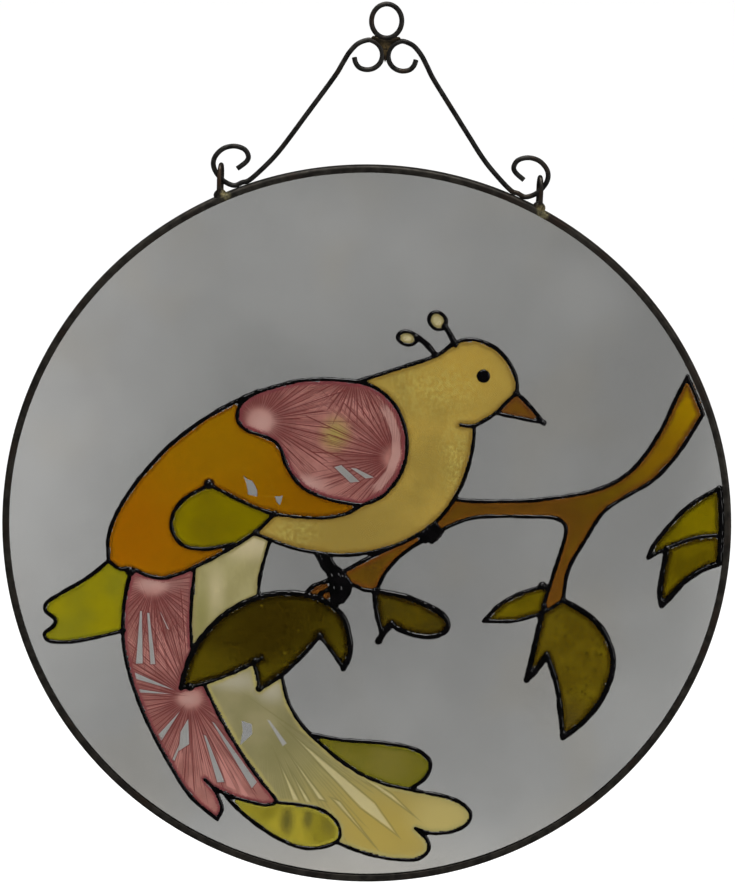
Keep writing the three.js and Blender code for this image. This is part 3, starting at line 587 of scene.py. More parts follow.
    paints["big_leaf"] = ("oliveGlassPaintBig", {**olive, "colors": ("#352A03", "#433806"),
            "areas": [("#4C4006", (-70, -62), 10, 8, (1.3, 0.8)), ("#483D06", (-42, -66), 8, 7, (1, 1)),
            ("#473C06", (-10, -50), 8, 7, (1, 1.2)), ("#322702", (-38, -44), 15, 12, (1.3, 0.8))],
            "rim": ("#221900", 1.9)}, leafBubbles)
    paints["small_leaf"] = ("oliveGlassPaintSmall", {**olive, "colors": ("#41360A", "#4E4006"),
            "rim": ("#2A1F02", 1.6)}, leafBubbles)
    paints["left_twig_leaf"] = ("oliveGlassPaintTwig", {**olive, "colors": ("#584B05", "#625506"),
            "rim": ("#3A2F02", 1.3)}, leafBubbles)
    paints["right_twig_leaf"] = ("oliveGlassPaintPitted", {**olive, "grain": 9, "colors": ("#52440A", "#5C4E0C"),
            "areas": [("#4A3E16", (84, -84), 9, 8, (1, 1.2))], "rim": ("#3A2E04", 1.6)}, bubbles(1.9, 0.8, "#2E2504",
            0.30))
    paints["upper_edge_leaf"] = ("oliveGlassPaintUpper", {**olive, "colors": ("#665903", "#726502"),
            "rim": ("#3E3402", 1.6)}, leafBubbles)
    paints["lower_edge_leaf"] = ("oliveGlassPaintLower", {**olive, "colors": ("#564803", "#655703"),
            "rim": ("#362A02", 1.6)}, leafBubbles)
    brown = {"grain": 14, "relief": 0.05, "rough": 0.1}
    paints["branch"] = ("brownGlassPaintBranch", {**brown, "colors": ("#5C450A", "#644E0A"),
            "areas": [("#5A3C0E", (62, 5), 20, 12, (1.6, 0.8)), ("#785B08", (124, 40), 20, 14, (1, 1)),
            ("#886D04", (136, 60), 18, 10, (1, 1)), ("#5E3E10", (76, -24), 14, 9, (0.8, 1.2))],
            "rim": ("#603E12", 2)})
    paints["perch"] = ("brownGlassPaintPerch", {**brown, "colors": ("#523A0E", "#5C420C"), "rim": ("#5E3A12", 1.6)})
    paints["branch_stub"] = ("brownGlassPaintStub", {**brown, "colors": ("#5A3812", "#64400F"),
            "rim": ("#4A2C10", 0.8)})
    paints["beak"] = ("brownGlassPaintBeak", {**brown, "colors": ("#5C4010", "#664612"), "rim": ("#5C3A18", 1.3)})
    bead = {"colors": ("#A39A74", "#B4AA84"), "grain": 3, "veil": 0.34, "relief": 0.05, "rough": 0.2,
            "rim": ("#8A7E50", 0.9)}
    paints["crest_bead_left"] = ("creamGlassPaintBead", bead)
    paints["crest_bead_right"] = paints["crest_bead_left"]
    return paints


glassMaterial = floatGlass()
pasteMaterial = contourPaste()
paintRecipes = paintMaterials()
print("materials mixed")


# one sweep for wires and piped beads: a round section along a path, uneven as a hand makes it
pressureScale = 260.0


def sweepTree():
    tree = bpy.data.node_groups.new("handSweep", "GeometryNodeTree")
    face = tree.interface
    sockets = (("Path", "Geometry"), ("Radius", "Float"), ("Spacing", "Float"), ("Sides", "Int"), ("Wander", "Float"),
               ("Wander plane", "Vector"), ("Wander scale", "Float"), ("Swell", "Float"), ("Material", "Material"))
    for name, kind in sockets:
        face.new_socket(name, in_out="INPUT", socket_type="NodeSocket" + kind)
    face.new_socket("Swept", in_out="OUTPUT", socket_type="NodeSocketGeometry")
    given = addNode(tree, "NodeGroupInput")
    path = addNode(tree, "GeometryNodeMeshToCurve", {0: given["Path"]})
    smooth = addNode(tree, "GeometryNodeCurveSplineType", {"Curve": path[0]}, spline_type="CATMULL_ROM")
    even = addNode(tree, "GeometryNodeResampleCurve", {"Curve": smooth[0], "Length": given["Spacing"]}, mode="LENGTH")
    hand = addNode(tree, "TexNoise", {"Scale": given["Wander scale"], "Detail": 1.0}, noise_dimensions="3D")
    centred = addNode(tree, "VectorMath", {0: hand["Color"], 1: (0.5, 0.5, 0.5)}, operation="SUBTRACT")
    inPlane = addNode(tree, "VectorMath", {0: centred[0], 1: given["Wander plane"]}, operation="MULTIPLY")
    push = addNode(tree, "VectorMath", {0: inPlane[0], 3: given["Wander"]}, operation="SCALE")
    bent = addNode(tree, "GeometryNodeSetPosition", {"Geometry": even[0], "Offset": push[0]})
    pressure = addNode(tree, "TexNoise", {"Scale": pressureScale, "Detail": 2.0}, noise_dimensions="3D")
    low = addNode(tree, "Math", {0: 1.0, 1: given["Swell"]}, operation="SUBTRACT")
    high = addNode(tree, "Math", {0: 1.0, 1: given["Swell"]}, operation="ADD")
    share = addNode(tree, "MapRange", {"Value": pressure[0], "From Min": 0.3, "From Max": 0.7, "To Min": low[0],
            "To Max": high[0]})
    radius = addNode(tree, "Math", {0: given["Radius"], 1: share[0]}, operation="MULTIPLY")
    section = addNode(tree, "GeometryNodeCurvePrimitiveCircle", {"Resolution": given["Sides"], "Radius": 1.0})
    swept = addNode(tree, "GeometryNodeCurveToMesh", {"Curve": bent[0], "Profile Curve": section[0],
            "Scale": radius[0], "Fill Caps": True})
    real = addNode(tree, "GeometryNodeRealizeInstances", {0: swept[0]})
    dressed = addNode(tree, "GeometryNodeSetMaterial", {0: real[0], "Material": given["Material"]})
    addNode(tree, "NodeGroupOutput", {0: dressed[0]})
    return tree


handSweep = sweepTree()


def sweptAlong(name, path, closed, sizes):
    count = len(path)
    edges = [(i, (i + 1) % count) for i in range(count if closed else count - 1)]
    piece = newPiece(name, meshFrom(name, path, edges=edges))
    modifier = piece.modifiers.new("sweep", "NODES")
    modifier.node_group = handSweep
    for item in handSweep.interface.items_tree:
        if item.in_out == "INPUT" and item.name in sizes:
            modifier[item.identifier] = sizes[item.name]
    return applied(piece)


def joinedMeshes(name, meshes):
    bm = bmesh.new()
    for mesh in meshes:
        bm.from_mesh(mesh)
    whole = bpy.data.meshes.new(name)
    bm.to_mesh(whole)
    bm.free()
    return newPiece(name, whole)


def melted(piece, voxel, smoothing):  # one skin over everything, its creases rounded
    skin = piece.modifiers.new("skin", "REMESH")
    skin.mode, skin.voxel_size = "VOXEL", voxel
    soften = piece.modifiers.new("soften", "SMOOTH")
    soften.factor, soften.iterations = 0.5, smoothing
    return applied(piece)


def ballMesh(name, middle, sizes, turn):
    bm = bmesh.new()
    stretched = Matrix.Rotation(turn, 4, "Y") @ Matrix.Diagonal((*(s * mm for s in sizes), 1))
    bmesh.ops.create_icosphere(bm, subdivisions=4, radius=1.0, matrix=Matrix.Translation(middle) @ stretched)
    mesh = bpy.data.meshes.new(name)
    bm.to_mesh(mesh)
    bm.free()
    return mesh


wire = {"radius": 1.05 * mm, "spacing": 0.6 * mm, "sides": 20, "bending": 0.12 * mm}
wireSizes = {"Radius": wire["radius"], "Spacing": wire["spacing"], "Sides": wire["sides"], "Wander": wire["bending"],
             "Wander plane": (1.0, 1.0, 1.0), "Wander scale": 90.0, "Swell": 0.0, "Material": steelWire}

ringCentre = (ringLow + ringHigh) / 2
ringHalf = ((ringHigh.x - ringLow.x) / 2 - wire["radius"], (ringHigh.z - ringLow.z) / 2 - wire["radius"])
ringPath = [ringCentre + Vector((ringHalf[0] * math.sin(a), 0, -ringHalf[1] * math.cos(a)))
            for a in np.linspace(0, 2 * math.pi, 48, endpoint=False)]
ring = sweptAlong("hangingRing", ringPath, True, wireSizes)
installed(ring, "hanger", "dark_metal", steelWire, "hanging_ring")

hangerShape = {"loop": (7.4, 195.7), "tip": 5.4, "bend": 6.2, "start": -14, "turn": -256, "steps": 12}
hangerLeg = [(11.4, 200.2), (14.7, 196.5), (17.3, 191.9), (20.5, 186.1), (30.9, 170.5), (41.4, 155), (47.6, 147.6),
             (53.6, 141.7), (56.6, 140.5), (60, 139.1), (64.4, 140.9), (67.6, 144.4), (68.8, 147.9), (67.9, 151.3),
             (64.8, 154.4), (60.4, 155.5), (56.2, 154.3), (54.5, 151.5), (55.4, 149.1), (58.9, 146.2)]


def hangerPath(side):
    s = hangerShape
    path = []
    for i in range(s["steps"]):
        angle = math.radians(s["start"] + s["turn"] * i / (s["steps"] - 1))
        radius = s["tip"] + (s["bend"] - s["tip"]) * min(1, i / 2)
        path.append((s["loop"][0] + radius * math.cos(angle), s["loop"][1] + radius * math.sin(angle)))
    return [discPoint(side * x, z) for x, z in path + hangerLeg]


for side, label in ((-1, "left"), (1, "right")):
    leg = sweptAlong("hangerWire_" + label, hangerPath(side), False, wireSizes)
    installed(leg, "hanger", "dark_metal", steelWire, "hanger_wire_" + label)

web = {"half": 0.85, "voxel": 0.3 * mm, "smoothing": 6, "ripple": 0.12 * mm, "grain": 1.6 * mm,
       "outline": [(0, 192.6), (1.0, 196.0), (1.7, 198.8), (3.0, 201.1), (4.8, 202.3), (6.2, 202.9), (5.3, 203.9),
        (3.6, 203.4), (1.8, 202.6), (0, 202.4)]}
webLine = web["outline"] + [(-x, z) for x, z in reversed(web["outline"][1:-1])]
solderWeb = melted(prism("hangerSolder", webLine, -web["half"], web["half"]), web["voxel"], web["smoothing"])
webSpots = vectorsOf(solderWeb.data, "co")
webRipple = web["ripple"] * noiseField(webSpots, web["grain"], 5)
movePoints(solderWeb.data, webSpots + vectorsOf(solderWeb.data, "normal") * webRipple[:, None])
installed(solderWeb, "hanger", "solder", tarnishedSolder, "hanger_solder")
print("hanger bent and soldered")

# inverted U of thinner wire, its feet drawn together in a blob of solder on the rim
eyelet = {"offset": 65.6, "spread": 4.1, "height": 142.4, "arch": 5.2, "radius": 0.92 * mm, "turns": 9,
          "blob": (2.7, 2.5, 2.3), "lean": 0.9, "twist": 8}
footHeight = math.sqrt(discRadius ** 2 - eyelet["offset"] ** 2)
for side, label in ((-1, "left"), (1, "right")):
    e = eyelet
    stations = [(e["lean"], -1.5, footHeight - 0.3), (0.6 * e["lean"], -3, footHeight + 2.6)]
    sideways, forward = math.sin(math.radians(e["twist"])), math.cos(math.radians(e["twist"]))
    for a in np.linspace(0, math.pi, e["turns"]):
        out = e["spread"] * math.cos(a)
        stations.append((out * sideways, -out * forward, e["height"] + e["arch"] * math.sin(a)))
    stations += [(-0.6 * e["lean"], 3, footHeight + 2.6), (-e["lean"], 1.5, footHeight - 0.3)]
    path = [discPoint(side * (e["offset"] + x), z, y) for x, y, z in stations]
    hoop = sweptAlong("hoop", path, False, {**wireSizes, "Radius": e["radius"], "Material": eyeletWire})
    blob = ballMesh("blob", discPoint(side * e["offset"], footHeight + 0.2), e["blob"],
            side * math.asin(e["offset"] / discRadius))
    whole = melted(joinedMeshes("eyelet_" + label + "_piece", [hoop.data, blob]), 0.26 * mm, 3)
    bpy.data.objects.remove(hoop)
    installed(whole, "panel", "dark_metal", eyeletWire, "eyelet_" + label)
print("eyelets soldered")


# rim and glass
def arc(cx, cy, radius, start, end, steps):
    return [(cx + radius * math.cos(math.radians(a)), cy + radius * math.sin(math.radians(a)))
            for a in np.linspace(start, end, steps)]


def revolved(name, profile, segments):  # a closed [radius, depth] section turned round the disc's axis
    count = len(profile)
    points = [discPoint(r * math.cos(a), r * math.sin(a), y) for a in np.linspace(0, 2 * math.pi, segments,
            endpoint=False) for r, y in profile]
    faces = []
    for i in range(segments):
        for j in range(count):
            k, n = (i + 1) % segments, (j + 1) % count
            faces.append((i * count + j, i * count + n, k * count + n, k * count + j))
    return newPiece(name, facedOut(meshFrom(name, points, faces)))


rim = {"face": 2.9, "wall": 0.7, "bend": 1.1, "shoulder": 1.5, "slope": 0.04, "segments": 360}
outer, d = (rimHigh.x - rimLow.x) / 2 / mm, (rimHigh.y - rimLow.y) / 2 / mm
lip, w, b = outer - rim["face"], rim["wall"], rim["bend"]
profile = arc(outer - b, d - b, b, 0, 90, 5) + [(outer - rim["shoulder"], d - rim["slope"])] + arc(lip + w / 2,
        d - w / 2, w / 2, 90, 270, 7)
profile += [(outer - w, d - w), (outer - w, -(d - w))] + arc(lip + w / 2, -(d - w / 2), w / 2, 90, 270, 7)
profile += [(outer - rim["shoulder"], -(d - rim["slope"]))] + arc(outer - b, -(d - b), b, 270, 360, 5)
rimPiece = revolved("rimCame", profile, rim["segments"])
installed(rimPiece, "panel", "dark_metal", leadCame, "rim_channel")

glassRadius, halfGlass = (glassHigh.x - glassLow.x) / 2, (glassHigh.y - glassLow.y) / 2
disc = bmesh.new()
facing = Matrix.Translation(discCentre) @ Matrix.Rotation(math.pi / 2, 4, "X")
bmesh.ops.create_cone(disc, cap_ends=True, segments=256, radius1=glassRadius, radius2=glassRadius,
        depth=2 * halfGlass, matrix=facing)
discMesh = bpy.data.meshes.new("glassDisc")
disc.to_mesh(discMesh)
disc.free()
glassPiece = newPiece("glassDisc", discMesh)
installed(glassPiece, "panel", "clear_glass", glassMaterial, "glass_disc")
print("rim and glass turned")

# contour paste, piped by hand: round beads that follow the drawing, melted together where they meet
# each line: its points, and a width where it differs from the usual bead
bodyLines = [
    [(-105.5, -19.5), (-106, -9.5), (-102.5, 1.5), (-94.5, 15), (-81.5, 30.5), (-64, 44.5), (-47, 54)],
    [(-46, 54), (-30, 59), (-13, 60), (0, 58), (10, 50), (15, 37), (14, 24), (7, 13), (-2.5, 8)],
    [(-2.5, 8), (-16, 10), (-27, 14.5), (-33.5, 22.5), (-37, 31), (-42, 34.8), (-51, 37.5), (-54.8, 42), (-53.3, 49),
     (-46, 54)], [(-65, 14), (-52.5, 8), (-38, 3), (-19.5, 2), (-9, 4), (-2.5, 8)],
    [(-65, 14), (-74.5, 8.5), (-79.5, 2), (-80, -5.5), (-75.5, -11.5), (-66.5, -13), (-54.5, -10.3)],
    [(-105.5, -19.5), (-101, -22.5), (-96, -22.3), (-89, -25), (-81.5, -25.5), (-69.5, -20.5), (-57.5, -13.5),
     (-46, -5.5), (-38, 3)], [(-46, -5.5), (-33.5, -10), (-21, -12.5), (-6.5, -13), (8, -9.8), (20, -4.2), (30, 4),
        (37, 15), (41, 26.5), (42.5, 37), (42.5, 42.7)], [(-7, 59.5), (3, 63), (12.5, 66.5), (26, 71.8), (33.5, 77.5),
        (41.5, 79), (50.5, 75.5), (56.5, 69), (59.3, 62.5), (59.5, 57.5)],
    [(59.5, 57.5), (54.5, 52.5), (50.5, 48.2), (42.5, 43.2), (37, 43.2)], [(59.5, 57.5), (65.5, 51.8), (71, 45.5)],
    [(71, 45.5), (61.5, 47), (51, 48.8)], ([(17.5, 79.3), (21.5, 76.5), (25.5, 72)], 2.6),
    ([(28.7, 84.3), (31, 81), (33.5, 76.7)], 2.6)]
tailLines = [
    [(-105.5, -19.5), (-114, -27), (-124, -33.5), (-130.3, -38), (-130.7, -41.5), (-126.5, -45), (-127.5, -48),
     (-130.8, -51), (-128.5, -54), (-119.5, -54), (-108.5, -51.5), (-98, -48.3)],
    [(-96, -22.3), (-97.8, -31.5), (-98.7, -42), (-98, -54.5), (-94.5, -68.5), (-87.5, -85.5), (-78, -102.5),
     (-68, -117), (-56.7, -126)], [(-56.7, -126), (-55, -121.5), (-56.8, -116.5), (-59, -112.7), (-62.5, -109.5)],
    [(-59, -112.7), (-52.5, -115.8), (-45, -117.8), (-37, -119.2), (-32.8, -117.5), (-35.3, -113.8), (-40.5, -108),
     (-48.5, -97), (-56, -85.5), (-63.8, -70.5)], [(-70, -20.7), (-70.7, -32), (-70.8, -43.5), (-70, -54)],
    [(-39.5, -8), (-42, -18), (-43.3, -25), (-43.5, -31)],
    [(-32.5, -65), (-29.5, -75.5), (-23.5, -85), (-13.3, -94.5), (-2.3, -102.5), (10, -108), (24.5, -110.8),
     (39.5, -113.5), (46.7, -118), (46.8, -123), (41, -127), (32, -128.3), (25, -126.5)],
    [(25, -126.5), (29.8, -131), (30.7, -135.5), (26, -139.5), (15.5, -139.8), (3.5, -137.5), (-6.5, -134)],
    [(-33, -117.8), (-21, -118.7), (-13, -120.7), (-7, -125.8), (-6.3, -132.5), (-14, -136.3), (-23, -136.3),
     (-32.5, -132.5), (-42, -126.5), (-50.5, -119.5), (-54, -115.2)],
    [(-19, -89), (-6, -90.7), (9.5, -91.3), (21.5, -92.7), (28, -96), (30.2, -100), (28, -105.5), (22, -110.2)]]
leafLines = [
    ([(-73.7, -71.5), (-72.3, -64), (-69, -55), (-61.8, -44.5), (-51.5, -36), (-39.5, -31), (-27, -30), (-15.5, -33),
      (-8, -39.5), (-5, -49), (-5, -55.5), (-7.3, -60.7)], 2.6), [(-7.3, -60.7), (-11.8, -54.3), (-17.5, -47.5)],
    [(-17.5, -47.5), (-24, -55.7), (-32.5, -64.5), (-41.5, -71)], [(-41.5, -71), (-42.5, -65.5), (-44, -60.7)],
    [(-41, -57.7), (-48, -62), (-59.5, -67.5), (-67.5, -70.3), (-73.7, -71.5)],
    ([(4.3, -27.5), (5, -34.5), (6.4, -40), (8, -45.4)], 2.4), ([(6.6, -48.8), (8.9, -45), (12, -41)], 2.8),
    ([(12, -41), (14.5, -43), (21, -45.3), (28.5, -45.8), (33.8, -43.7), (35, -39.7), (31.3, -35.5), (23.5, -31.8),
      (15.5, -29.2), (5, -27.7)], 2.6), [(49.8, -38.5), (55.8, -31.7), (63.5, -26.7), (74, -23)],
    [(49.8, -38.5), (61.5, -38), (68.5, -36), (74, -34)], ([(74.3, -31), (72, -43), (69.8, -55), (68.3, -62.5)], 2.6),
    ([(68.3, -62.5), (72, -58.3), (76.3, -51.5)], 2.6),
    ([(76.3, -51.5), (80.8, -64), (82.8, -75.5), (84.3, -86)], 2.6),
    ([(84.3, -86), (92.5, -79), (100, -68.3), (103.7, -55), (100.8, -43.5), (93.5, -35), (82, -28.5)], 2.6)]
branchLines = [
    [(36, 12), (43, 11.5), (56.5, 12), (71, 13.3), (93, 18), (107.3, 26.3), (118, 41.5), (124.5, 56.5),
     (129.3, 67.2)], [(129.3, 67.2), (133, 59.6), (136.3, 51.6)],
    [(136.3, 51.6), (130.5, 41), (124, 31), (116, 22.5), (104.5, 15), (97, 9), (90.8, -1.5), (83.7, -15.5),
     (82, -28.5)], [(5, -27.5), (8.7, -19.5), (15, -12), (24.5, -5), (37, 2.2), (48, 5.2), (67, 6), (77.3, 5.8),
        (81.8, 2.5), (81.3, -4), (77.7, -17.5), (74, -31)], [(74, -34), (77.5, -31.7), (82, -28.5)],
    [(-8, -19.7), (2.5, -13.3), (11, -9)], [(-5.5, -25), (0, -27.3), (5, -27.5)],
    [(-24, -29.7), (-20.7, -26.5), (-15.5, -24.3)]]
edgeLeafLines = [
    [(116.3, -9.3), (118.3, -4), (124, 4), (130, 11), (137, 16.7), (144.4, 21)],
    [(145.8, 1.3), (136.5, 0.2), (126, -3.7), (116.3, -9.3)], ([(144.4, 21), (145.8, 6.5), (145.6, -10.3)], 2.6),
    ([(124, -5), (122.3, -16), (121.7, -24), (122.7, -29)], 2.6),
    ([(122.7, -29), (126.3, -25), (131.3, -19), (138, -13.8), (145.6, -10.3)], 2.6)]
# the bird's feet: several short strokes laid side by side, left rough
footStrokes = [
    ([(-19.4, -13.6), (-17.4, -17.4), (-14.6, -21.2), (-13.2, -24.6)], 2.9),
    ([(-16.6, -13.4), (-15, -17.2), (-11.8, -21), (-9.6, -24.4)], 2.9),
    ([(-15.2, -14.2), (-12.6, -18), (-9.2, -20.6), (-6.2, -24.6)], 2.3),
    ([(-13.4, -23.6), (-13, -28), (-12.6, -31.4)], 2.6), ([(-11.4, -22.6), (-10.2, -27.6), (-11.2, -33.4)], 3.0),
    ([(-8.8, -22.6), (-7.4, -27), (-9, -32.2)], 3.0), ([(-6.2, -24.8), (-6.2, -28.6), (-7.8, -31)], 2.4),
    ([(22.3, -3.6), (23.8, -5.4), (24.4, -6)], 2.2), ([(23.6, -2.4), (25.8, -4.6), (27, -6)], 2.4),
    ([(25.2, -1.2), (27.2, -3.4), (28.6, -4.8)], 2.4), ([(26.6, 0.4), (28.4, -1.8), (30, -3.2)], 2.4),
    ([(28, 1.6), (29.8, -0.6), (31, -1.6)], 2.2), ([(-19.8, -30.9), (-17.2, -29.4), (-14, -27.2)], 2.1)]
# where the paste was let run into a blob
pasteBlobs = [(-65.5, 14.3, 2.4), (-96.5, -23.5, 2.2), (-45.5, -5.3, 1.6), (59.3, 57.3, 1.6), (71, 45.5, 1.4),
              (-43.7, -59, 1.6), (73.3, -22.8, 1.9), (-17.5, -47.3, 1.6), (7, -48.3, 1.7), (12, -41.2, 1.6),
              (-38, 3, 1.6), (-70, -71, 1.8), (-41.6, -70.4, 1.7)]
crestBeads = [((13.6, 78.6), 3.9, 2.7, -10), ((25.8, 86.3), 3.9, 3.2, -50)]
pasteBead = {"width": 1.88, "height": 1.05, "spacing": 0.8, "sides": 12, "wander": 0.22, "swell": 0.16, "voxel": 0.40,
             "smoothing": 2, "ripple": 0.05, "grain": 2.4, "merge": 0.02, "bed": 0.02, "mostTriangles": 185000}


def pipedLine(points, width, closed=False):
    s = pasteBead
    settings = {"Radius": width / 2 * mm, "Spacing": s["spacing"] * mm, "Sides": s["sides"],
                "Wander": s["wander"] * mm, "Wander plane": (1.0, 0.0, 1.0), "Wander scale": 110.0,
                "Swell": s["swell"], "Material": pasteMaterial}
    bead = sweptAlong("bead", [discPoint(x, z) for x, z in points], closed, settings)
    mesh = bead.data
    bpy.data.objects.remove(bead)
    return mesh


def paste(name, lines, blobs, seed, rings):
    s = pasteBead
    meshes = list(rings)
    for line in lines:
        points, width = line if isinstance(line, tuple) else (line, s["width"])
        meshes.append(pipedLine(points, width))
        for x, z in (points[0], points[-1]):
            meshes.append(ballMesh("end", discPoint(x, z), (width * 0.53,) * 3, 0))
    meshes += [ballMesh("blob", discPoint(x, z), (r, r * 0.9, r), 0) for x, z, r in blobs]
    piece = melted(joinedMeshes(name, meshes), s["voxel"] * mm, s["smoothing"])
    points = vectorsOf(piece.data, "co")
    ripple = s["ripple"] * mm * noiseField(points, s["grain"] * mm, seed)
    points += vectorsOf(piece.data, "normal") * ripple[:, None]
    depth = discCentre.y - points[:, 1]  # the round bead settles: its back half is pressed flat on the glass
    bed = glassLow.y - s["bed"] * mm
    points[:, 1] = np.where(depth > 0, bed - depth * (s["height"] / (s["width"] / 2)), bed)
    movePoints(piece.data, points)
    reworked(piece.data, lambda bm: bmesh.ops.remove_doubles(bm, verts=bm.verts, dist=s["merge"] * mm))
    thinned = piece.modifiers.new("thin", "DECIMATE")  # mostly takes faces from the flat back
    thinned.ratio = min(1, s["mostTriangles"] / (2 * len(piece.data.polygons)))
    return applied(piece)


def ovalPath(centre, halfLength, halfHeight, tilt, count=20):
    t = math.radians(tilt)
    turns = [(halfLength * math.cos(a), halfHeight * math.sin(a)) for a in np.linspace(0, 2 * math.pi, count,
            endpoint=False)]
    return [(centre[0] + x * math.cos(t) - z * math.sin(t), centre[1] + x * math.sin(t) + z * math.cos(t)) for x,
            z in turns]


crestRings = [pipedLine(ovalPath(*bead), pasteBead["width"], True) for bead in crestBeads]
mainPaste = paste("contourBirdAndBranch", bodyLines + tailLines + leafLines + branchLines + footStrokes, pasteBlobs,
        1, crestRings)
installed(mainPaste, "panel", "black_contour_paste", pasteMaterial, "contour_bird_and_branch")
leafPaste = paste("contourEdgeLeaves", edgeLeafLines, [], 2, [])
installed(leafPaste, "panel", "black_contour_paste", pasteMaterial, "contour_edge_leaves")
eyeLow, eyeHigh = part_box("eye_dot")
eyeMiddle = Vector(((eyeLow.x + eyeHigh.x) / 2, eyeHigh.y, (eyeLow.z + eyeHigh.z) / 2))
eyeHalf = ((eyeHigh.x - eyeLow.x) / 2 / mm, (eyeHigh.y - eyeLow.y) / mm, (eyeHigh.z - eyeLow.z) / 2 / mm)
eye = newPiece("eyeDot", ballMesh("eyeDot", eyeMiddle, eyeHalf, 0))
eyePoints = vectorsOf(eye.data, "co")
eyePoints[:, 1] = np.minimum(eyePoints[:, 1], glassLow.y - 0.1 * mm)
movePoints(eye.data, eyePoints)
eye.data.shade_smooth()
installed(eye, "panel", "black_contour_paste", pasteMaterial, "eye_dot")
print("paste piped,", len(mainPaste.data.polygons), "and", len(leafPaste.data.polygons), "faces")

# paint films, poured between the contours
paint = {"pitch": 0.6, "under": 1.25, "thickness": 0.42, "meniscus": 0.22, "climb": 0.9, "gap": 0.05,
         "rimThickness": 0.17, "rimStart": 146.2, "rimReach": 148.2, "waves": 0.05, "waveGrain": 9.0, "cut": (-4, -1)}


def frontTriangles(node):  # the film's face towards the viewer, in millimetres from the middle of the disc
    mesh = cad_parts[node].data
    mesh.calc_loop_triangles()
    points = (vectorsOf(mesh, "co") - np.array(discCentre)) / mm
    corners = points[np.array([t.vertices[:] for t in mesh.loop_triangles])]
    front = (corners[:, :, 1] < points[:, 1].min() + 0.01).all(1)
    return corners[front][:, :, [0, 2]]


def outlinePoints(triangles, step):
    uses = {}
    for t in np.round(triangles, 4):
        for i in range(3):
            a, b = tuple(t[i]), tuple(t[(i + 1) % 3])
            key = (min(a, b), max(a, b))
            uses[key] = uses.get(key, 0) + 1
    points = []
    for (a, b), found in uses.items():
        if found == 1:
            count = max(1, int(math.dist(a, b) / step))
            points += [(a[0] + (b[0] - a[0]) * i / count, a[1] + (b[1] - a[1]) * i / count) for i in range(count)]
    return points


def insideTriangles(points, triangles):
    inside = np.zeros(len(points), bool)
    for a, b, c in triangles:
        low, high = np.minimum(np.minimum(a, b), c), np.maximum(np.maximum(a, b), c)
        near = np.nonzero(((points >= low - 1e-6) & (points <= high + 1e-6)).all(1))[0]
        area = (b[0] - a[0]) * (c[1] - a[1]) - (b[1] - a[1]) * (c[0] - a[0])
        if abs(area) < 1e-9:
            continue
        p = points[near]
        u = ((p[:, 0] - a[0]) * (c[1] - a[1]) - (p[:, 1] - a[1]) * (c[0] - a[0])) / area
        v = ((b[0] - a[0]) * (p[:, 1] - a[1]) - (b[1] - a[1]) * (p[:, 0] - a[0])) / area
        inside[near[(u >= -1e-6) & (v >= -1e-6) & (u + v <= 1 + 1e-6)]] = True
    return inside


filmNodes = sorted(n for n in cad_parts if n.startswith("paint_"))
filmTriangles = {n: frontTriangles(n) for n in filmNodes}
filmOutlines = {n: outlinePoints(filmTriangles[n], 0.4) for n in filmNodes}
allOutlines = [(n, p) for n in filmNodes for p in filmOutlines[n]]
outlineTree = kdtree.KDTree(len(allOutlines))
for i, (n, p) in enumerate(allOutlines):
    outlineTree.insert((p[0], 0, p[1]), i)
outlineTree.balance()


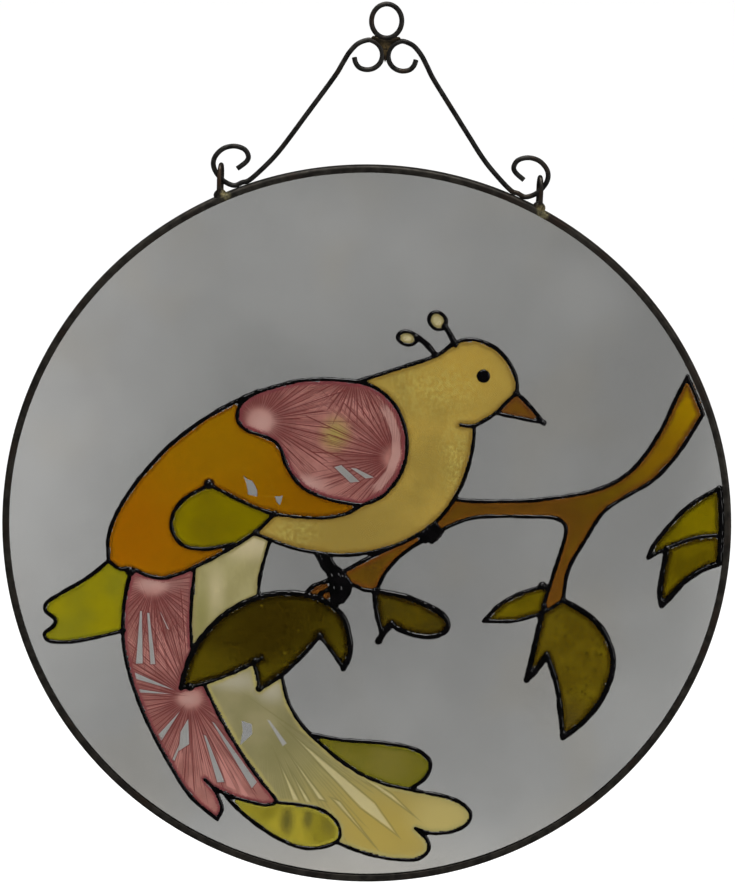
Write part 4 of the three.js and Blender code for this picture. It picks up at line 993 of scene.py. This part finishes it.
def paintFilm(node):
    s = paint
    outline = np.array(filmOutlines[node])
    low = np.floor((outline.min(0) - 2) / s["pitch"]).astype(int)
    high = np.ceil((outline.max(0) + 2) / s["pitch"]).astype(int)
    cols, rows = high - low + 1
    grid = np.array([((low[0] + i) * s["pitch"], (low[1] + j) * s["pitch"]) for j in range(rows)
            for i in range(cols)])
    inside = insideTriangles(grid, filmTriangles[node])
    reach = np.full(len(grid), 9.0)
    own = np.zeros(len(grid), bool)
    for k, (x, z) in enumerate(grid):
        found = outlineTree.find((x, 0, z))
        reach[k] = found[2]
        own[k] = allOutlines[found[1]][0] == node
    radius = np.hypot(grid[:, 0], grid[:, 1])
    tucked = own & (radius > s["rimStart"]) & (reach < s["rimReach"] - s["rimStart"] + 1)
    kept = (inside | (own & (reach <= s["under"])) | tucked) & (radius < s["rimReach"])
    cells = []
    for j in range(rows - 1):
        for i in range(cols - 1):
            a = j * cols + i
            corners = (a, a + 1, a + cols + 1, a + cols)
            if all(kept[c] for c in corners):
                cells.append(corners)
    used = sorted({c for cell in cells for c in cell})
    number = {c: i for i, c in enumerate(used)}
    count = len(used)
    signed = np.where(inside, reach, -reach)[used]
    places = grid[used]
    backFace = glassLow.y / mm - s["gap"]
    waves = s["waves"] * noiseField([(x, 0, z) for x, z in places], s["waveGrain"], 7)
    depth = s["thickness"] + waves + s["meniscus"] * np.exp(-np.maximum(signed, 0) / s["climb"])
    under = np.clip((radius[used] - s["rimStart"]) / 0.7, 0, 1)
    front = backFace - (depth * (1 - under) + s["rimThickness"] * under)
    points = [discPoint(x, z, y) for (x, z), y in zip(places, front)] + [discPoint(x, z, backFace) for x, z in places]
    faces = [tuple(number[c] for c in cell) for cell in cells]
    faces += [tuple(number[c] + count for c in reversed(cell)) for cell in cells]
    walls = {}
    for cell in cells:
        for i in range(4):
            a, b = number[cell[i]], number[cell[(i + 1) % 4]]
            if (b, a) in walls:
                del walls[(b, a)]
            else:
                walls[(a, b)] = True
    faces += [(b, a, a + count, b + count) for a, b in walls]
    piece = newPiece(node.replace("paint_", "film_"), meshFrom(node, points, faces))
    edge = piece.data.attributes.new("edge", "FLOAT", "POINT")  # millimetres in from the paint's outline
    edge.data.foreach_set("value", np.concatenate([signed, signed]).astype(np.float32))
    return piece


# places where the paint chipped off the glass
chips = {"paint_tail_cream_lower": [[(-48.3, -84.2), (-44.0, -85.5), (-43.7, -89.8), (-45.9, -92.1), (-48.6, -94.7),
        (-47.7, -88.6)]], "paint_wing": [[(-51.4, 18.4), (-49.6, 16.9), (-47.9, 16.5), (-46.6, 14.6), (-45.6, 12.6),
        (-45.5, 10.0), (-49.2, 10.6), (-49.9, 14.5)], [(-38.2, 10.4), (-36.4, 10.3), (-34.9, 10.9), (-35.4, 8.6),
        (-36.0, 6.6), (-37.4, 8.0)]]}


def chipped(film, outlines):
    for outline in outlines:
        cutter = prism("cutter", outline, *paint["cut"])
        facedOut(cutter.data)
        cut = film.modifiers.new("chip", "BOOLEAN")
        cut.operation, cut.object, cut.solver = "DIFFERENCE", cutter, "EXACT"
        applied(film)
        bpy.data.objects.remove(cutter)


for node in filmNodes:
    film = paintFilm(node)
    chipped(film, chips.get(node, ()))
    name, look, *extra = paintRecipes[node.replace("paint_", "")]
    light = sum(lightAt(*p) for p in filmOutlines[node]) / len(filmOutlines[node])
    material = glassPaint(name, {**look, "light": light}, *extra)
    installed(film, "panel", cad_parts[node].data.materials[0].name.split(".")[0], material, node)
print("paint poured,", len(filmNodes), "films")
